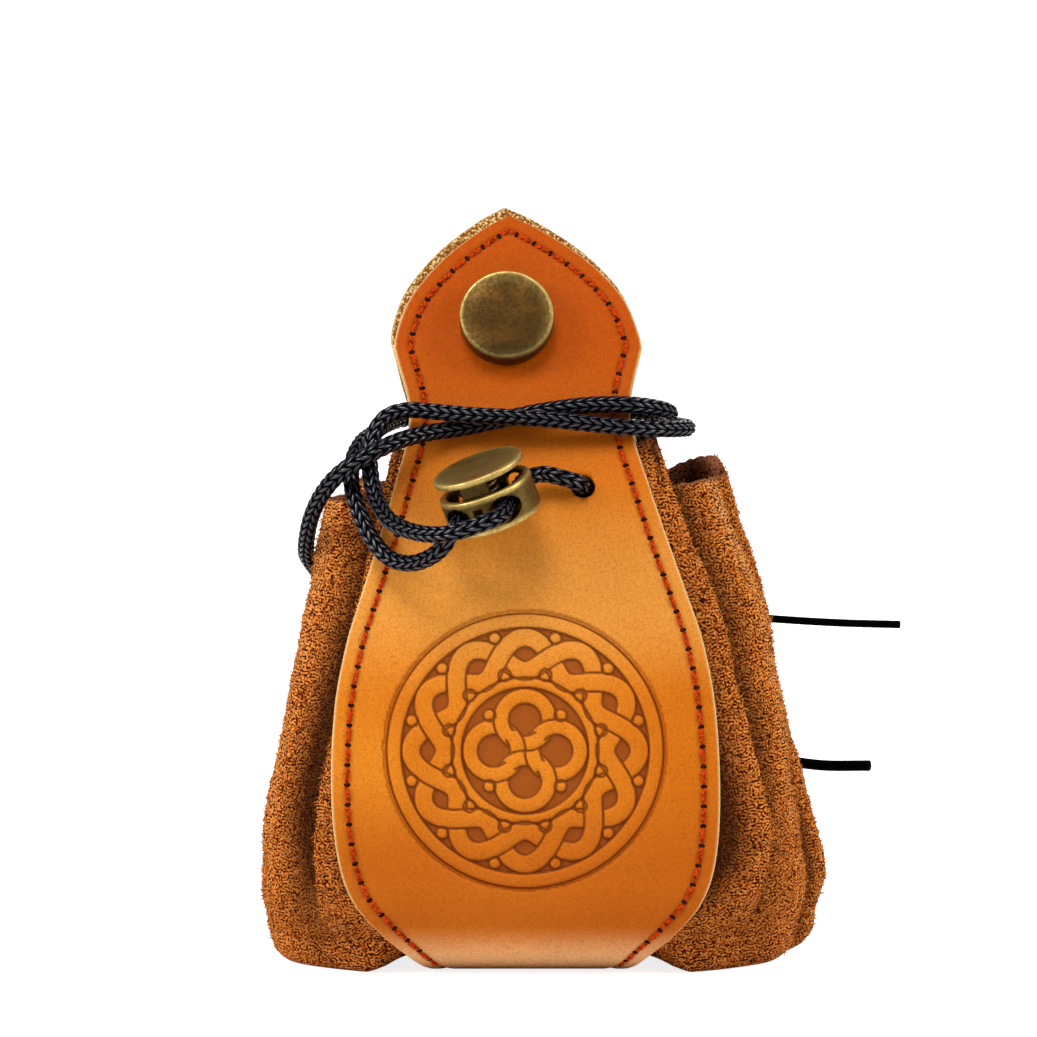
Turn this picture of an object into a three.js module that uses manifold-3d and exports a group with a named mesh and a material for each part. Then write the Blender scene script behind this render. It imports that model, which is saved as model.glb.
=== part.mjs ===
// Drawstring dice bag, in millimetres, +Z up, standing on its base with its front facing -Y.
// A gathered suede pouch sits inside one long leather strap that runs from the front tab down the
// front, under the base and up the back to the back tab, where a snap joins the two tabs. A waxed
// cord gathers the mouth, leaves through two holes in the front of the strap, passes a sprung cord
// lock, winds round the neck and ends behind the bag.
import * as THREE from 'three';
import { mergeVertices } from 'three/addons/utils/BufferGeometryUtils.js';
import Module from 'manifold-3d';

const wasm = await Module();
wasm.setup();

// Driving dimensions
const STRAP_THICK = 2.0;
const SUEDE_THICK = 1.3;
const SEAM_GAP = 0.45; // between the strap and the suede that is sewn behind it
const SEAM_INSET = 2.5; // how far inside the strap's edge the pouch leaves the strap
const HEEL_RADIUS = 15; // bend where the strap turns under the base
const HEEL_Y = 13; // half length of the flat base
const BACK_TAB_RISE = 0.1; // the back tab stands this much above the front one
const BACK_TAB_SHIFT = -0.6; // and this much to its side
const CROWN = 1.2; // how far the strap's edges lie back from its middle at the belly
const CORD_RADIUS = 1.25;
const CORD_CLEARANCE = 0.35;
const CORD_SIDES = 8;
const CORD_STEP = 7; // length of a straight piece of the free strands
const MOUTH_STEP = 5; // and of the run inside the mouth
const CORD_HOLE_RADIUS = 2.3; // punched through the strap
const CORD_HOLES = { z: 77.2, right: 6.0, left: -12.6 };

// Outline of the strap: half width and middle of the width, from the base to the tip of a tab
const STRAP_WIDTHS = [
  { z: 0, half: 15.4, middle: -2.6 },
  { z: 1, half: 17.0, middle: -2.6 },
  { z: 3.5, half: 19.6, middle: -2.7 },
  { z: 7, half: 23.3, middle: -2.7 },
  { z: 12, half: 27.3, middle: -2.8 },
  { z: 19, half: 29.7, middle: -2.9 },
  { z: 30, half: 30.6, middle: -3.1 },
  { z: 44, half: 29.9, middle: -3.2 },
  { z: 54, half: 28.0, middle: -3.2 },
  { z: 61, half: 25.7, middle: -3.3 },
  { z: 70, half: 22.6, middle: -3.5 },
  { z: 78, half: 20.0, middle: -3.7 },
  { z: 85, half: 17.9, middle: -3.9 },
  { z: 90, half: 17.6, middle: -4.1 },
  { z: 96.5, half: 19.2, middle: -4.3 },
  { z: 98.4, half: 19.7, middle: -4.3 },
  { z: 101, half: 19.2, middle: -4.4 },
  { z: 105.6, half: 17.3, middle: -4.5 },
  { z: 109.4, half: 14.2, middle: -4.7 },
  { z: 112.8, half: 10.4, middle: -5.0 },
  { z: 116.8, half: 4.3, middle: -5.5 },
  { z: 118.6, half: 0.5, middle: -5.8 },
];

// Outer faces of the strap above the heels: setback of the front and the back in y
const STRAP_FACES = [
  { z: 15, front: -28, back: 28 },
  { z: 30, front: -28, back: 28 },
  { z: 44, front: -26.7, back: 27 },
  { z: 54, front: -24.4, back: 24.8 },
  { z: 61, front: -22.2, back: 22.4 },
  { z: 70, front: -18.7, back: 18.2 },
  { z: 78, front: -15.0, back: 13.4 },
  { z: 84.3, front: -11.9, back: 7.9 },
  { z: 90, front: -9.2, back: 1.8 },
  { z: 94, front: -7.3, back: -0.9 },
  { z: 98.4, front: -5.3, back: 0.8 },
  { z: 105.6, front: -1.9, back: 4.2 },
  { z: 112.8, front: 1.5, back: 7.6 },
  { z: 118.6, front: 4.2, back: 10.3 },
];

// Outline of the pouch from the front: how far its sides reach from the middle plane
const POUCH_SIDES = [
  { z: 6, left: 44.4, right: 43.4 },
  { z: 13, left: 45.2, right: 45.2 },
  { z: 25, left: 44.4, right: 42.4 },
  { z: 35, left: 42.4, right: 39.6 },
  { z: 49, left: 39.6, right: 36.4 },
  { z: 57, left: 38.0, right: 35.7 },
  { z: 63, left: 36.9, right: 34.0 },
  { z: 73, left: 35.1, right: 30.2 },
  { z: 84, left: 33.4, right: 27.5 },
];

// Rings of the pouch from the base up: height, and share of the plan that a ring on the base keeps
const POUCH_RINGS = [
  { z: 0, share: 0.3 },
  { z: 0, share: 0.46 },
  { z: 0, share: 0.66 },
  { z: 0, share: 0.89 },
  { z: 1.5, share: 0.965 },
  { z: 6, share: 1 },
  { z: 13, share: 1 },
  { z: 22, share: 1 },
  { z: 33, share: 1 },
  { z: 44, share: 1 },
  { z: 54, share: 1 },
  { z: 62, share: 1 },
  { z: 68, share: 1 },
  { z: 72, share: 1 },
];

// Gathers on each side, from the front seam to the back one. A fold ends at a share of the pouch's
// depth, its crest stands out and the valley after it dips in, at three heights, and its rim has a
// height of its own.
const FOLD_HEIGHTS = { foot: 18, waist: 42, mouth: 76 };
const FOLDS = {
  right: [
    { end: 0.2, foot: 0.4, waist: 2, mouth: 3, dipFoot: -0.6, dipWaist: -4.5, dipMouth: -5.5, rim: 83 },
    { end: 0.5, foot: 1.2, waist: 3.5, mouth: 8, dipFoot: -1.8, dipWaist: -3, dipMouth: -5, rim: 76.8 },
    { end: 0.8, foot: 4.5, waist: 3, mouth: 7.5, dipFoot: -1.5, dipWaist: -3.5, dipMouth: -5, rim: 80.5 },
    { end: 1, foot: 0.6, waist: 1.5, mouth: 2.5, dipFoot: 0, dipWaist: 0, dipMouth: 0, rim: 82 },
  ],
  left: [
    { end: 0.17, foot: 2.2, waist: 0.4, mouth: 0.8, dipFoot: -1.2, dipWaist: -2.6, dipMouth: -5, rim: 81 },
    { end: 0.5, foot: 1.5, waist: 3, mouth: 8, dipFoot: -0.8, dipWaist: -3, dipMouth: -5, rim: 74.4 },
    { end: 0.8, foot: 1.5, waist: 0.8, mouth: 3.5, dipFoot: -1, dipWaist: -3, dipMouth: -5, rim: 76.4 },
    { end: 1, foot: 0.6, waist: 1.5, mouth: 2.5, dipFoot: 0, dipWaist: 0, dipMouth: 0, rim: 82 },
  ],
};
const RIM_AT_STRAP = 83.5;
const FOLD_SEGMENTS = 8;
const FLAT_SEGMENTS = 6;
const RIM_SHARES = [0.5, 1]; // rings between the top ring and the rim

// Snap fastener through the two tabs
const SNAP = { x: -6.1, z: 102.2, capRadius: 7.5, capHeight: 3.4, postRadius: 2.2, backRadius: 5 };
const SNAP_SEGMENTS = 24;

// Cord lock: the button slides along the axis and the cords run across it
const LOCK = {
  place: new THREE.Vector3(-8.6, -25.3, 75.7),
  axis: new THREE.Vector3(-0.337, -0.175, 0.923),
  cordWay: new THREE.Vector3(-0.207, -0.945, -0.253),
  radius: 7.5,
  height: 6.2,
  wall: 1.2,
  floor: 1.1,
  holeOffset: 3.9,
  holeWide: 4.6,
  holeTall: 4.2,
  capThick: 1.3,
  travel: 1.9,
  stemRadius: 5.9,
  archRoom: 0.9, // between a cord and the arch over it, with the button pressed
};
const LOCK_SEGMENTS = 28;

// Routes of the cord, chosen by hand: the run inside the mouth, and the two strands from the holes
// in the strap to their free ends
const MOUTH_ROUTE = [
  [6.1, -8.8, 74.4], [8.2, -7.4, 73.6], [12.6, -7.4, 72.6], [17.4, -6.2, 71.8], [20.8, -2.2, 71.4],
  [20.8, 3.2, 71.4], [17.2, 8.0, 71.8], [9, 10.4, 72.2], [-3, 10.8, 72.4], [-15, 10.4, 72.0],
  [-23.4, 7.6, 71.2], [-26.6, 2.2, 70.8], [-26.2, -3.6, 70.8], [-22.6, -7.2, 71.6], [-17.4, -7.6, 72.8],
  [-14.2, -7.4, 73.8], [-12.7, -8.8, 74.4],
];
const RIGHT_ROUTE = [
  [6.0, -9.9, 74.8], [6.0, -13.4, 76.3], [5.4, -16.8, 77.8], [2.8, -18.0, 78.8], [-0.4, -17.8, 79.4],
  [-2.9, -19.2, 78.9], [-4.1, -22.0, 77.9], [-5.0, -26.3, 76.8], [-6.1, -31.0, 75.5],
  [-6.9, -34.4, 74.6], [-8.8, -36.6, 74.0], [-11.6, -37.4, 73.0], [-14.8, -36.6, 72.0],
  [-18.2, -34.2, 71.6], [-21.6, -30.6, 71.9], [-24.4, -26.6, 73.0], [-26.3, -22.4, 75.4],
  [-27.4, -19.0, 78.6], [-27.7, -16.6, 82.2], [-26.9, -14.9, 85.8], [-24.9, -13.7, 88.2],
  [-21.8, -13.3, 89.1], [-17.5, -13.8, 88.9], [-12, -14.9, 88.5], [-6, -15.0, 88.2], [0, -14.6, 87.8],
  [7, -13.9, 87.0], [13.5, -13.0, 86.3], [19, -10.2, 85.8], [22.4, -4.8, 85.4], [22.3, 1.4, 85.1],
  [19.8, 8.2, 84.6], [15.2, 14.0, 82.2], [10.6, 18.0, 77.2], [8.4, 21.4, 70], [8.8, 25.0, 61.5],
  [10.8, 27.8, 52.5], [15, 29.8, 43.5], [21.5, 30.4, 35.8], [29, 28.8, 31.0], [36.8, 25.0, 28.8],
  [44.6, 20.8, 28.0], [52.7, 17.0, 28.4],
];
const LEFT_ROUTE = [
  [-12.6, -9.9, 74.8], [-12.6, -13.4, 76.3], [-12.0, -17.2, 77.0], [-11.1, -19.6, 76.0],
  [-12.2, -24.2, 74.7], [-13.2, -28.8, 73.3], [-14.4, -31.4, 72.0], [-15.8, -31.6, 69.6],
  [-18.2, -29.4, 67.4], [-21.4, -26.6, 66.2], [-24.6, -23.6, 66.8], [-27.2, -21.0, 69.4],
  [-29.2, -18.8, 73.2], [-30.5, -16.6, 77.2], [-30.5, -13.2, 80.8], [-29.2, -8.6, 83.4],
  [-27.2, -3.0, 84.6], [-25.4, 3.6, 85.2], [-22.6, 9.6, 85.6], [-16.5, 11.6, 86.1], [-6, 10.6, 86.6],
  [5, 10.0, 86.8], [12, 8.4, 87.0], [17.4, 4.4, 87.1], [19.8, -1.2, 87.3], [18.9, -7.2, 88.6],
  [14.5, -11.2, 89.7], [7.5, -11.7, 89.8], [0, -11.8, 88.9], [-7, -12.3, 87.5], [-13, -12.8, 86.3],
  [-18.5, -14.6, 85.6], [-23.4, -18.2, 84.6], [-28, -20.6, 82.6], [-32, -19.6, 80.0],
  [-34.8, -17.0, 76.8], [-36.8, -13.4, 72.8], [-37.8, -9.0, 68.6], [-38.0, -3.8, 65.2],
  [-37.0, 1.6, 62.6], [-36.0, 7.6, 60.6], [-35.4, 14.4, 58.8], [-33.8, 22.6, 57.2],
  [-28.2, 27.2, 56.0], [-18, 27.9, 54.8], [-6, 28.8, 53.7], [4, 30.4, 53.1], [12, 31.2, 52.8],
  [21, 30, 52.3], [29, 27.4, 51.9], [38, 24, 51.5], [48, 20.6, 51.3], [57.5, 17.4, 51.4],
];

const LEATHER = material(0xc9711d, 0.45, 0);
const SUEDE = material(0x8a4f22, 0.95, 0);
const WAXED_CORD = material(0x15161a, 0.5, 0);
const ANTIQUE_BRASS = material(0x8d7a45, 0.4, 0.9);

function material(color, roughness, metalness) {
  return new THREE.MeshStandardMaterial({ color, roughness, metalness });
}

// Small helpers

function clamp01(value) {
  return Math.min(1, Math.max(0, value));
}

function mix(a, b, share) {
  return a + (b - a) * share;
}

// Smooth value of one column of a table at a height.
function columnAt(rows, column, z) {
  const last = rows.length - 1;
  if (z <= rows[0].z) return rows[0][column];
  if (z >= rows[last].z) return rows[last][column];
  const i = rows.findIndex((row) => row.z > z) - 1;
  const slope = (k) => {
    const below = rows[Math.max(k - 1, 0)];
    const above = rows[Math.min(k + 1, last)];
    return (above[column] - below[column]) / (above.z - below.z);
  };
  const span = rows[i + 1].z - rows[i].z;
  const t = (z - rows[i].z) / span;
  const start = rows[i][column] * (1 + 2 * t) + slope(i) * span * t;
  const end = rows[i + 1][column] * (3 - 2 * t) + slope(i + 1) * span * (t - 1);
  return start * (1 - t) ** 2 + end * t ** 2;
}

// Closed solid through rings of equal length, with a pole at the middle of the first and last ring.
function loft(rings) {
  const count = rings[0].length;
  const middle = (ring) => ring.reduce((sum, p) => sum.add(p), new THREE.Vector3()).divideScalar(count);
  const points = [middle(rings[0]), ...rings.flat(), middle(rings.at(-1))];
  const index = [];
  const at = (ring, k) => 1 + ring * count + (k % count);
  for (let k = 0; k < count; k += 1) {
    index.push(0, at(0, k + 1), at(0, k));
    index.push(points.length - 1, at(rings.length - 1, k), at(rings.length - 1, k + 1));
    for (let r = 0; r < rings.length - 1; r += 1) {
      index.push(at(r, k), at(r, k + 1), at(r + 1, k));
      index.push(at(r, k + 1), at(r + 1, k + 1), at(r + 1, k));
    }
  }
  return new THREE.BufferGeometry().setFromPoints(points).setIndex(facingOut(points, index));
}

// The triangles, turned round if they enclose a negative volume.
function facingOut(points, index) {
  let volume = 0;
  for (let i = 0; i < index.length; i += 3) {
    const [a, b, c] = [points[index[i]], points[index[i + 1]], points[index[i + 2]]];
    volume += new THREE.Vector3().crossVectors(a, b).dot(c);
  }
  return volume > 0 ? index : index.slice().reverse();
}

function toSolid(geometry) {
  const bare = geometry.clone();
  bare.deleteAttribute('normal');
  bare.deleteAttribute('uv');
  const merged = mergeVertices(bare, 1e-3);
  return new wasm.Manifold(new wasm.Mesh({
    numProp: 3,
    vertProperties: new Float32Array(merged.attributes.position.array),
    triVerts: new Uint32Array(merged.index.array),
  }));
}

function toGeometry(solid) {
  const mesh = solid.getMesh();
  const geometry = new THREE.BufferGeometry();
  geometry.setAttribute('position', new THREE.BufferAttribute(mesh.vertProperties, 3));
  geometry.setIndex(new THREE.BufferAttribute(mesh.triVerts, 1));
  geometry.computeVertexNormals();
  return geometry;
}

function cut(geometry, cutters) {
  const left = cutters.reduce((solid, cutter) => solid.subtract(toSolid(cutter)), toSolid(geometry));
  return toGeometry(left);
}

function named(name, geometry, finish) {
  const mesh = new THREE.Mesh(geometry, finish);
  mesh.name = name;
  return mesh;
}

// A turned piece about +Z from rows of radius and height, both ends on the axis.
function turned(rows, segments) {
  const profile = rows.map(([radius, height]) => new THREE.Vector2(radius, height));
  return new THREE.LatheGeometry(profile, segments).rotateX(Math.PI / 2);
}

// A round bar through a point, along a direction.
function bar(radius, length, place, direction) {
  const turn = new THREE.Quaternion().setFromUnitVectors(new THREE.Vector3(0, 1, 0), direction);
  const geometry = new THREE.CylinderGeometry(radius, radius, length, 20);
  return geometry.applyQuaternion(turn).translate(place.x, place.y, place.z);
}

// Leather strap

function frontFace(z) {
  return columnAt(STRAP_FACES, 'front', z);
}

// Outward direction of the front face at a height.
function frontNormal(z) {
  const slope = (frontFace(z + 1) - frontFace(z - 1)) / 2;
  return new THREE.Vector3(0, -1, slope).normalize();
}

// Side view of the strap's outer face, from the front tip round the base to the back tip.
function strapProfile() {
  const tip = STRAP_FACES.at(-1);
  const down = STRAP_FACES.slice(0, -1).reverse();
  const up = STRAP_FACES.slice(1, -1);
  const path = new THREE.Path();
  path.moveTo(tip.front, tip.z);
  path.splineThru(down.map((row) => new THREE.Vector2(row.front, row.z)));
  path.absarc(-HEEL_Y, HEEL_RADIUS, HEEL_RADIUS, Math.PI, 1.5 * Math.PI);
  path.lineTo(HEEL_Y, 0);
  path.absarc(HEEL_Y, HEEL_RADIUS, HEEL_RADIUS, 1.5 * Math.PI, 2 * Math.PI);
  const backTip = new THREE.Vector2(tip.back + BACK_TAB_RISE / 2, tip.z + BACK_TAB_RISE);
  path.splineThru([...up.map((row) => new THREE.Vector2(row.back, row.z)), backTip]);
  return path;
}

// How far back the strap's edge lies from its middle, at a height.
function crownAt(z) {
  return CROWN * Math.sin(Math.PI * clamp01((z - 4) / 76));
}

const STRAP_STATIONS = 66;
const STRAP_LANES = 6;
const TIP_CROWDING = 0.6; // share of the cosine spacing that crowds the stations at the tips

function strapSolid() {
  const path = strapProfile();
  const rings = [];
  for (let k = 0; k <= STRAP_STATIONS; k += 1) {
    const even = k / STRAP_STATIONS;
    const along = mix(even, (1 - Math.cos(Math.PI * even)) / 2, TIP_CROWDING);
    const point = path.getPointAt(along);
    const tangent = path.getTangentAt(along);
    const out = new THREE.Vector3(0, tangent.y, -tangent.x);
    const height = Math.max(point.y, 0);
    const rise = along > 0.5 ? BACK_TAB_RISE * clamp01((height - 84) / 10) : 0;
    const half = columnAt(STRAP_WIDTHS, 'half', height - rise);
    const shift = along > 0.5 ? BACK_TAB_SHIFT * clamp01((height - 84) / 10) : 0;
    const middle = columnAt(STRAP_WIDTHS, 'middle', height - rise) + shift;
    const lane = (share, depth) => new THREE.Vector3(middle + half * share, point.x, height)
      .addScaledVector(out, -depth - crownAt(height) * share ** 2);
    const shares = Array.from({ length: STRAP_LANES + 1 }, (_, j) => (2 * j) / STRAP_LANES - 1);
    rings.push([
      ...shares.map((share) => lane(share, 0)),
      ...shares.reverse().map((share) => lane(share, STRAP_THICK)),
    ]);
  }
  return loft(rings);
}

function cordHole(x) {
  return new THREE.Vector3(x, frontFace(CORD_HOLES.z), CORD_HOLES.z);
}

function leatherStrap() {
  const normal = frontNormal(CORD_HOLES.z);
  const snap = snapPlace();
  const holes = [
    bar(CORD_HOLE_RADIUS, 9, cordHole(CORD_HOLES.right), normal),
    bar(CORD_HOLE_RADIUS, 9, cordHole(CORD_HOLES.left), normal),
    bar(SNAP.postRadius + 0.35, 24, snap, frontNormal(SNAP.z)),
  ];
  return named('leather_strap', cut(strapSolid(), holes), LEATHER);
}

// Suede pouch

// Fold value of one column set at a height: foot, waist and mouth joined by straight lines.
function foldValue(foot, waist, mouth, z) {
  const { foot: low, waist: mid, mouth: high } = FOLD_HEIGHTS;
  return z < mid
    ? mix(foot, waist, clamp01((z - low) / (mid - low)))
    : mix(waist, mouth, clamp01((z - mid) / (high - mid)));
}

// y of the pouch behind the strap, on the front or the back.
function pouchFace(z, side) {
  const depth = STRAP_THICK + SEAM_GAP;
  const sign = side === 'front' ? -1 : 1;
  if (z < HEEL_RADIUS) {
    const drop = HEEL_RADIUS - Math.max(z, depth);
    return sign * (HEEL_Y + Math.sqrt((HEEL_RADIUS - depth) ** 2 - drop ** 2));
  }
  const slope = (columnAt(STRAP_FACES, side, z + 1) - columnAt(STRAP_FACES, side, z - 1)) / 2;
  return columnAt(STRAP_FACES, side, z) - sign * depth * Math.sqrt(1 + slope ** 2);
}

// Height of the base where it lies on the strap, fading to the floor beyond the strap's edges.
function liftOverStrap(x, y) {
  const depth = STRAP_THICK + SEAM_GAP;
  const over = Math.min(Math.max(Math.abs(y) - HEEL_Y, 0), HEEL_RADIUS - depth);
  const lift = HEEL_RADIUS - Math.sqrt((HEEL_RADIUS - depth) ** 2 - over ** 2);
  const edge = columnAt(STRAP_WIDTHS, 'half', lift) + 1;
  const away = Math.abs(x - STRAP_WIDTHS[0].middle) - edge;
  return lift * (1 - clamp01(away / 6)) ** 2;
}

// Plain bulge of a side, before its folds, at a share of the pouch's depth.
function roundness(share) {
  return (1 - Math.abs(2 * share - 1) ** 2.4) ** 0.6;
}

// Section of one side at a height: its seam, its bulge, its depth and the size of its folds.
function sideSection(side, z) {
  const sign = side === 'right' ? 1 : -1;
  const half = columnAt(STRAP_WIDTHS, 'half', z) - SEAM_INSET;
  const seam = columnAt(STRAP_WIDTHS, 'middle', z) + sign * half;
  const folds = FOLDS[side].map((fold, i, all) => ({
    begin: i ? all[i - 1].end : 0,
    end: fold.end,
    crest: foldValue(fold.foot, fold.waist, fold.mouth, z),
    dip: foldValue(fold.dipFoot, fold.dipWaist, fold.dipMouth, z),
  }));
  const room = columnAt(POUCH_SIDES, side, z) - sign * seam;
  const bulges = folds.map((fold) => (room - fold.crest) / roundness((fold.begin + fold.end) / 2));
  return {
    sign,
    seam,
    folds,
    bulge: Math.min(...bulges),
    front: pouchFace(z, 'front') + crownAt(z),
    back: pouchFace(z, 'back') - crownAt(z),
    tight: clamp01((z - 30) / 40),
  };
}

// Points of one side of a ring, from the front seam to the back one. The height of a point follows
// from the height of the rim above it.
function sidePoints(side, heightUnder) {
  const rims = FOLDS[side].map((fold) => fold.rim);
  const points = [];
  rims.forEach((rim, i) => {
    const rimBefore = i ? (rims[i - 1] + rim) / 2 : RIM_AT_STRAP;
    const rimAfter = i < rims.length - 1 ? (rims[i + 1] + rim) / 2 : RIM_AT_STRAP;
    for (let k = 0; k < FOLD_SEGMENTS; k += 1) {
      const turn = (Math.PI * k) / FOLD_SEGMENTS;
      const across = (1 - Math.cos(turn)) / 2;
      const z = heightUnder(mix(mix(rimBefore, rimAfter, across), rim, Math.sin(turn)));
      const { sign, seam, folds, bulge, front, back, tight } = sideSection(side, z);
      const swell = mix(Math.sin(Math.PI * across) ** 2, Math.sin(turn), tight);
      const share = mix(folds[i].begin, folds[i].end, across);
      const valley = mix(i ? folds[i - 1].dip : 0, folds[i].dip, across);
      const out = bulge * roundness(share) + mix(valley, folds[i].crest, swell);
      points.push(new THREE.Vector3(seam + sign * out, mix(front, back, share), z));
    }
  });
  const z = heightUnder(RIM_AT_STRAP);
  const { seam, back } = sideSection(side, z);
  points.push(new THREE.Vector3(seam, back, z));
  return points;
}

// Points across the front or the back of a ring, behind the strap, from the left seam to the right.
function flatPoints(side, heightUnder) {
  const z = heightUnder(RIM_AT_STRAP);
  const middle = columnAt(STRAP_WIDTHS, 'middle', z);
  const half = columnAt(STRAP_WIDTHS, 'half', z) - SEAM_INSET;
  const inward = side === 'front' ? 1 : -1;
  return Array.from({ length: FLAT_SEGMENTS - 1 }, (_, k) => {
    const share = (2 * (k + 1)) / FLAT_SEGMENTS - 1;
    const y = pouchFace(z, side) + inward * crownAt(z) * share ** 2;
    return new THREE.Vector3(middle + half * share, y, z);
  });
}

// One ring of the pouch's outer face, anticlockwise from above, starting at the front right seam.
function pouchRing(heightUnder) {
  return [
    ...sidePoints('right', heightUnder),
    ...flatPoints('back', heightUnder).reverse(),
    ...sidePoints('left', heightUnder).reverse(),
    ...flatPoints('front', heightUnder),
  ];
}

// Rings on the base are drawn in towards the middle and lie over the strap.
function baseRing(row) {
  const plan = POUCH_RINGS.find((ring) => ring.share === 1).z;
  const middle = STRAP_WIDTHS[0].middle;
  return pouchRing(() => plan).map((p) => {
    const x = middle + (p.x - middle) * row.share;
    const y = p.y * row.share;
    return new THREE.Vector3(x, y, Math.max(row.z, liftOverStrap(x, y)));
  });
}

// The rings again, moved inwards by the thickness of the suede.
function innerRings(rings) {
  const count = rings[0].length;
  return rings.map((ring, r) => ring.map((point, k) => {
    const around = new THREE.Vector3().subVectors(ring[(k + 1) % count], ring[(k + count - 1) % count]);
    const below = rings[Math.max(r - 1, 0)][k];
    const above = rings[Math.min(r + 1, rings.length - 1)][k];
    const up = new THREE.Vector3().subVectors(above, below);
    const out = new THREE.Vector3().crossVectors(around, up).normalize();
    return point.clone().addScaledVector(out, -SUEDE_THICK);
  }));
}

function suedePouch() {
  const outer = POUCH_RINGS.map((row) => (row.share < 1 ? baseRing(row) : pouchRing(() => row.z)));
  const top = POUCH_RINGS.at(-1).z;
  RIM_SHARES.forEach((share) => outer.push(pouchRing((rim) => mix(top, rim, share))));
  const wall = loft([...outer, ...innerRings(outer).reverse()]);
  const normal = frontNormal(CORD_HOLES.z);
  const holes = [
    tube(MOUTH_ROUTE, CORD_RADIUS + CORD_CLEARANCE, MOUTH_STEP),
    bar(CORD_RADIUS + 0.6, 14, cordHole(CORD_HOLES.right), normal),
    bar(CORD_RADIUS + 0.6, 14, cordHole(CORD_HOLES.left), normal),
  ];
  return named('suede_pouch', cut(wall, holes), SUEDE);
}

// Snap fastener

function snapPlace() {
  return new THREE.Vector3(SNAP.x, frontFace(SNAP.z), SNAP.z);
}

// Cap on the front tab, post through both tabs and plain plate on the back one.
function snapButton() {
  const { capRadius, capHeight, postRadius, backRadius } = SNAP;
  const seat = 0.3;
  const backTop = -STRAP_THICK * 2 - 2.1;
  const rows = [
    [0, backTop - 1.6], [backRadius - 1.2, backTop - 1.6], [backRadius, backTop - 0.9],
    [backRadius, backTop], [postRadius, backTop], [postRadius, seat],
    [capRadius - 0.5, seat], [capRadius, seat + 0.5], [capRadius, capHeight - 1.0],
    [capRadius - 0.35, capHeight - 0.35], [capRadius - 1.1, capHeight], [0, capHeight + 0.15],
  ];
  const mesh = named('snap_button', turned(rows, SNAP_SEGMENTS), ANTIQUE_BRASS);
  mesh.quaternion.setFromUnitVectors(new THREE.Vector3(0, 0, 1), frontNormal(SNAP.z));
  mesh.position.copy(snapPlace());
  return mesh;
}

// Cord lock

// An opening of round-ended section across the lock, along its local Y.
function lockOpening(x, wide, tall, z) {
  const oval = new THREE.Shape().absellipse(0, 0, wide / 2, tall / 2, 0, 2 * Math.PI);
  const bore = new THREE.ExtrudeGeometry(oval, { depth: 20, bevelEnabled: false, curveSegments: 16 });
  return bore.translate(0, 0, -10).rotateX(Math.PI / 2).translate(x, 0, z);
}

function lockBody() {
  const { radius, height, wall, floor, holeOffset, holeWide, holeTall } = LOCK;
  const [low, high] = [-height / 2, height / 2];
  const inner = radius - wall;
  const cup = turned([
    [0, low], [radius - 0.6, low], [radius, low + 0.5], [radius, high - 0.3], [radius - 0.3, high],
    [inner + 0.2, high], [inner, high - 0.2], [inner, low + floor], [0, low + floor],
  ], LOCK_SEGMENTS);
  const notch = new THREE.BoxGeometry(1.5, 6, 1.7).translate(0, radius, 0.7);
  const bores = [-1, 1].map((side) => lockOpening(side * holeOffset, holeWide, holeTall, 0.1));
  return named('cord_lock_body', cut(cup, [...bores, notch]), ANTIQUE_BRASS);
}

// Cap and stem in one: the stem straddles the cords with an arch over each.
function lockButton() {
  const { radius, height, floor, capThick, travel, stemRadius, holeOffset, archRoom } = LOCK;
  const capLow = height / 2 + travel + 0.3;
  const capHigh = capLow + capThick;
  const stemLow = -height / 2 + floor + travel + 0.3;
  const archTop = 0.1 + CORD_RADIUS + travel + archRoom;
  const plug = turned([
    [0, stemLow], [stemRadius, stemLow], [stemRadius, capLow], [radius - 0.5, capLow],
    [radius - 0.1, capLow + 0.4], [radius - 0.1, capHigh - 0.5], [radius - 0.6, capHigh - 0.1],
    [0, capHigh],
  ], LOCK_SEGMENTS);
  const archWide = 2 * (CORD_RADIUS + 0.5);
  const archTall = 2 * (archTop - stemLow);
  const arches = [-1, 1].map((side) => lockOpening(side * holeOffset, archWide, archTall, stemLow));
  return named('cord_lock_button', cut(plug, arches), ANTIQUE_BRASS);
}

function cordLock() {
  const up = LOCK.axis.clone().normalize();
  const across = new THREE.Vector3().crossVectors(LOCK.cordWay, up).normalize();
  const way = new THREE.Vector3().crossVectors(up, across);
  const lock = new THREE.Group();
  lock.quaternion.setFromRotationMatrix(new THREE.Matrix4().makeBasis(across, way, up));
  lock.position.copy(LOCK.place);
  lock.add(lockBody(), lockButton());
  return lock;
}

// Drawstring

function tube(route, radius, step) {
  const curve = new THREE.CatmullRomCurve3(route.map((p) => new THREE.Vector3(...p)), false, 'centripetal');
  const section = new THREE.Shape();
  for (let k = 0; k < CORD_SIDES; k += 1) {
    const turn = (2 * Math.PI * k) / CORD_SIDES;
    const [x, y] = [radius * Math.cos(turn), radius * Math.sin(turn)];
    if (k === 0) section.moveTo(x, y);
    else section.lineTo(x, y);
  }
  const steps = Math.round(curve.getLength() / step);
  return new THREE.ExtrudeGeometry(section, { steps, extrudePath: curve });
}

function drawstring() {
  const cord = new THREE.Group();
  cord.add(
    named('drawstring_mouth', tube(MOUTH_ROUTE, CORD_RADIUS, MOUTH_STEP), WAXED_CORD),
    named('drawstring_right', tube(RIGHT_ROUTE, CORD_RADIUS, CORD_STEP), WAXED_CORD),
    named('drawstring_left', tube(LEFT_ROUTE, CORD_RADIUS, CORD_STEP), WAXED_CORD),
  );
  return cord;
}

const bag = new THREE.Group();
bag.add(leatherStrap(), suedePouch(), snapButton(), cordLock(), drawstring());

export default bag;
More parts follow.
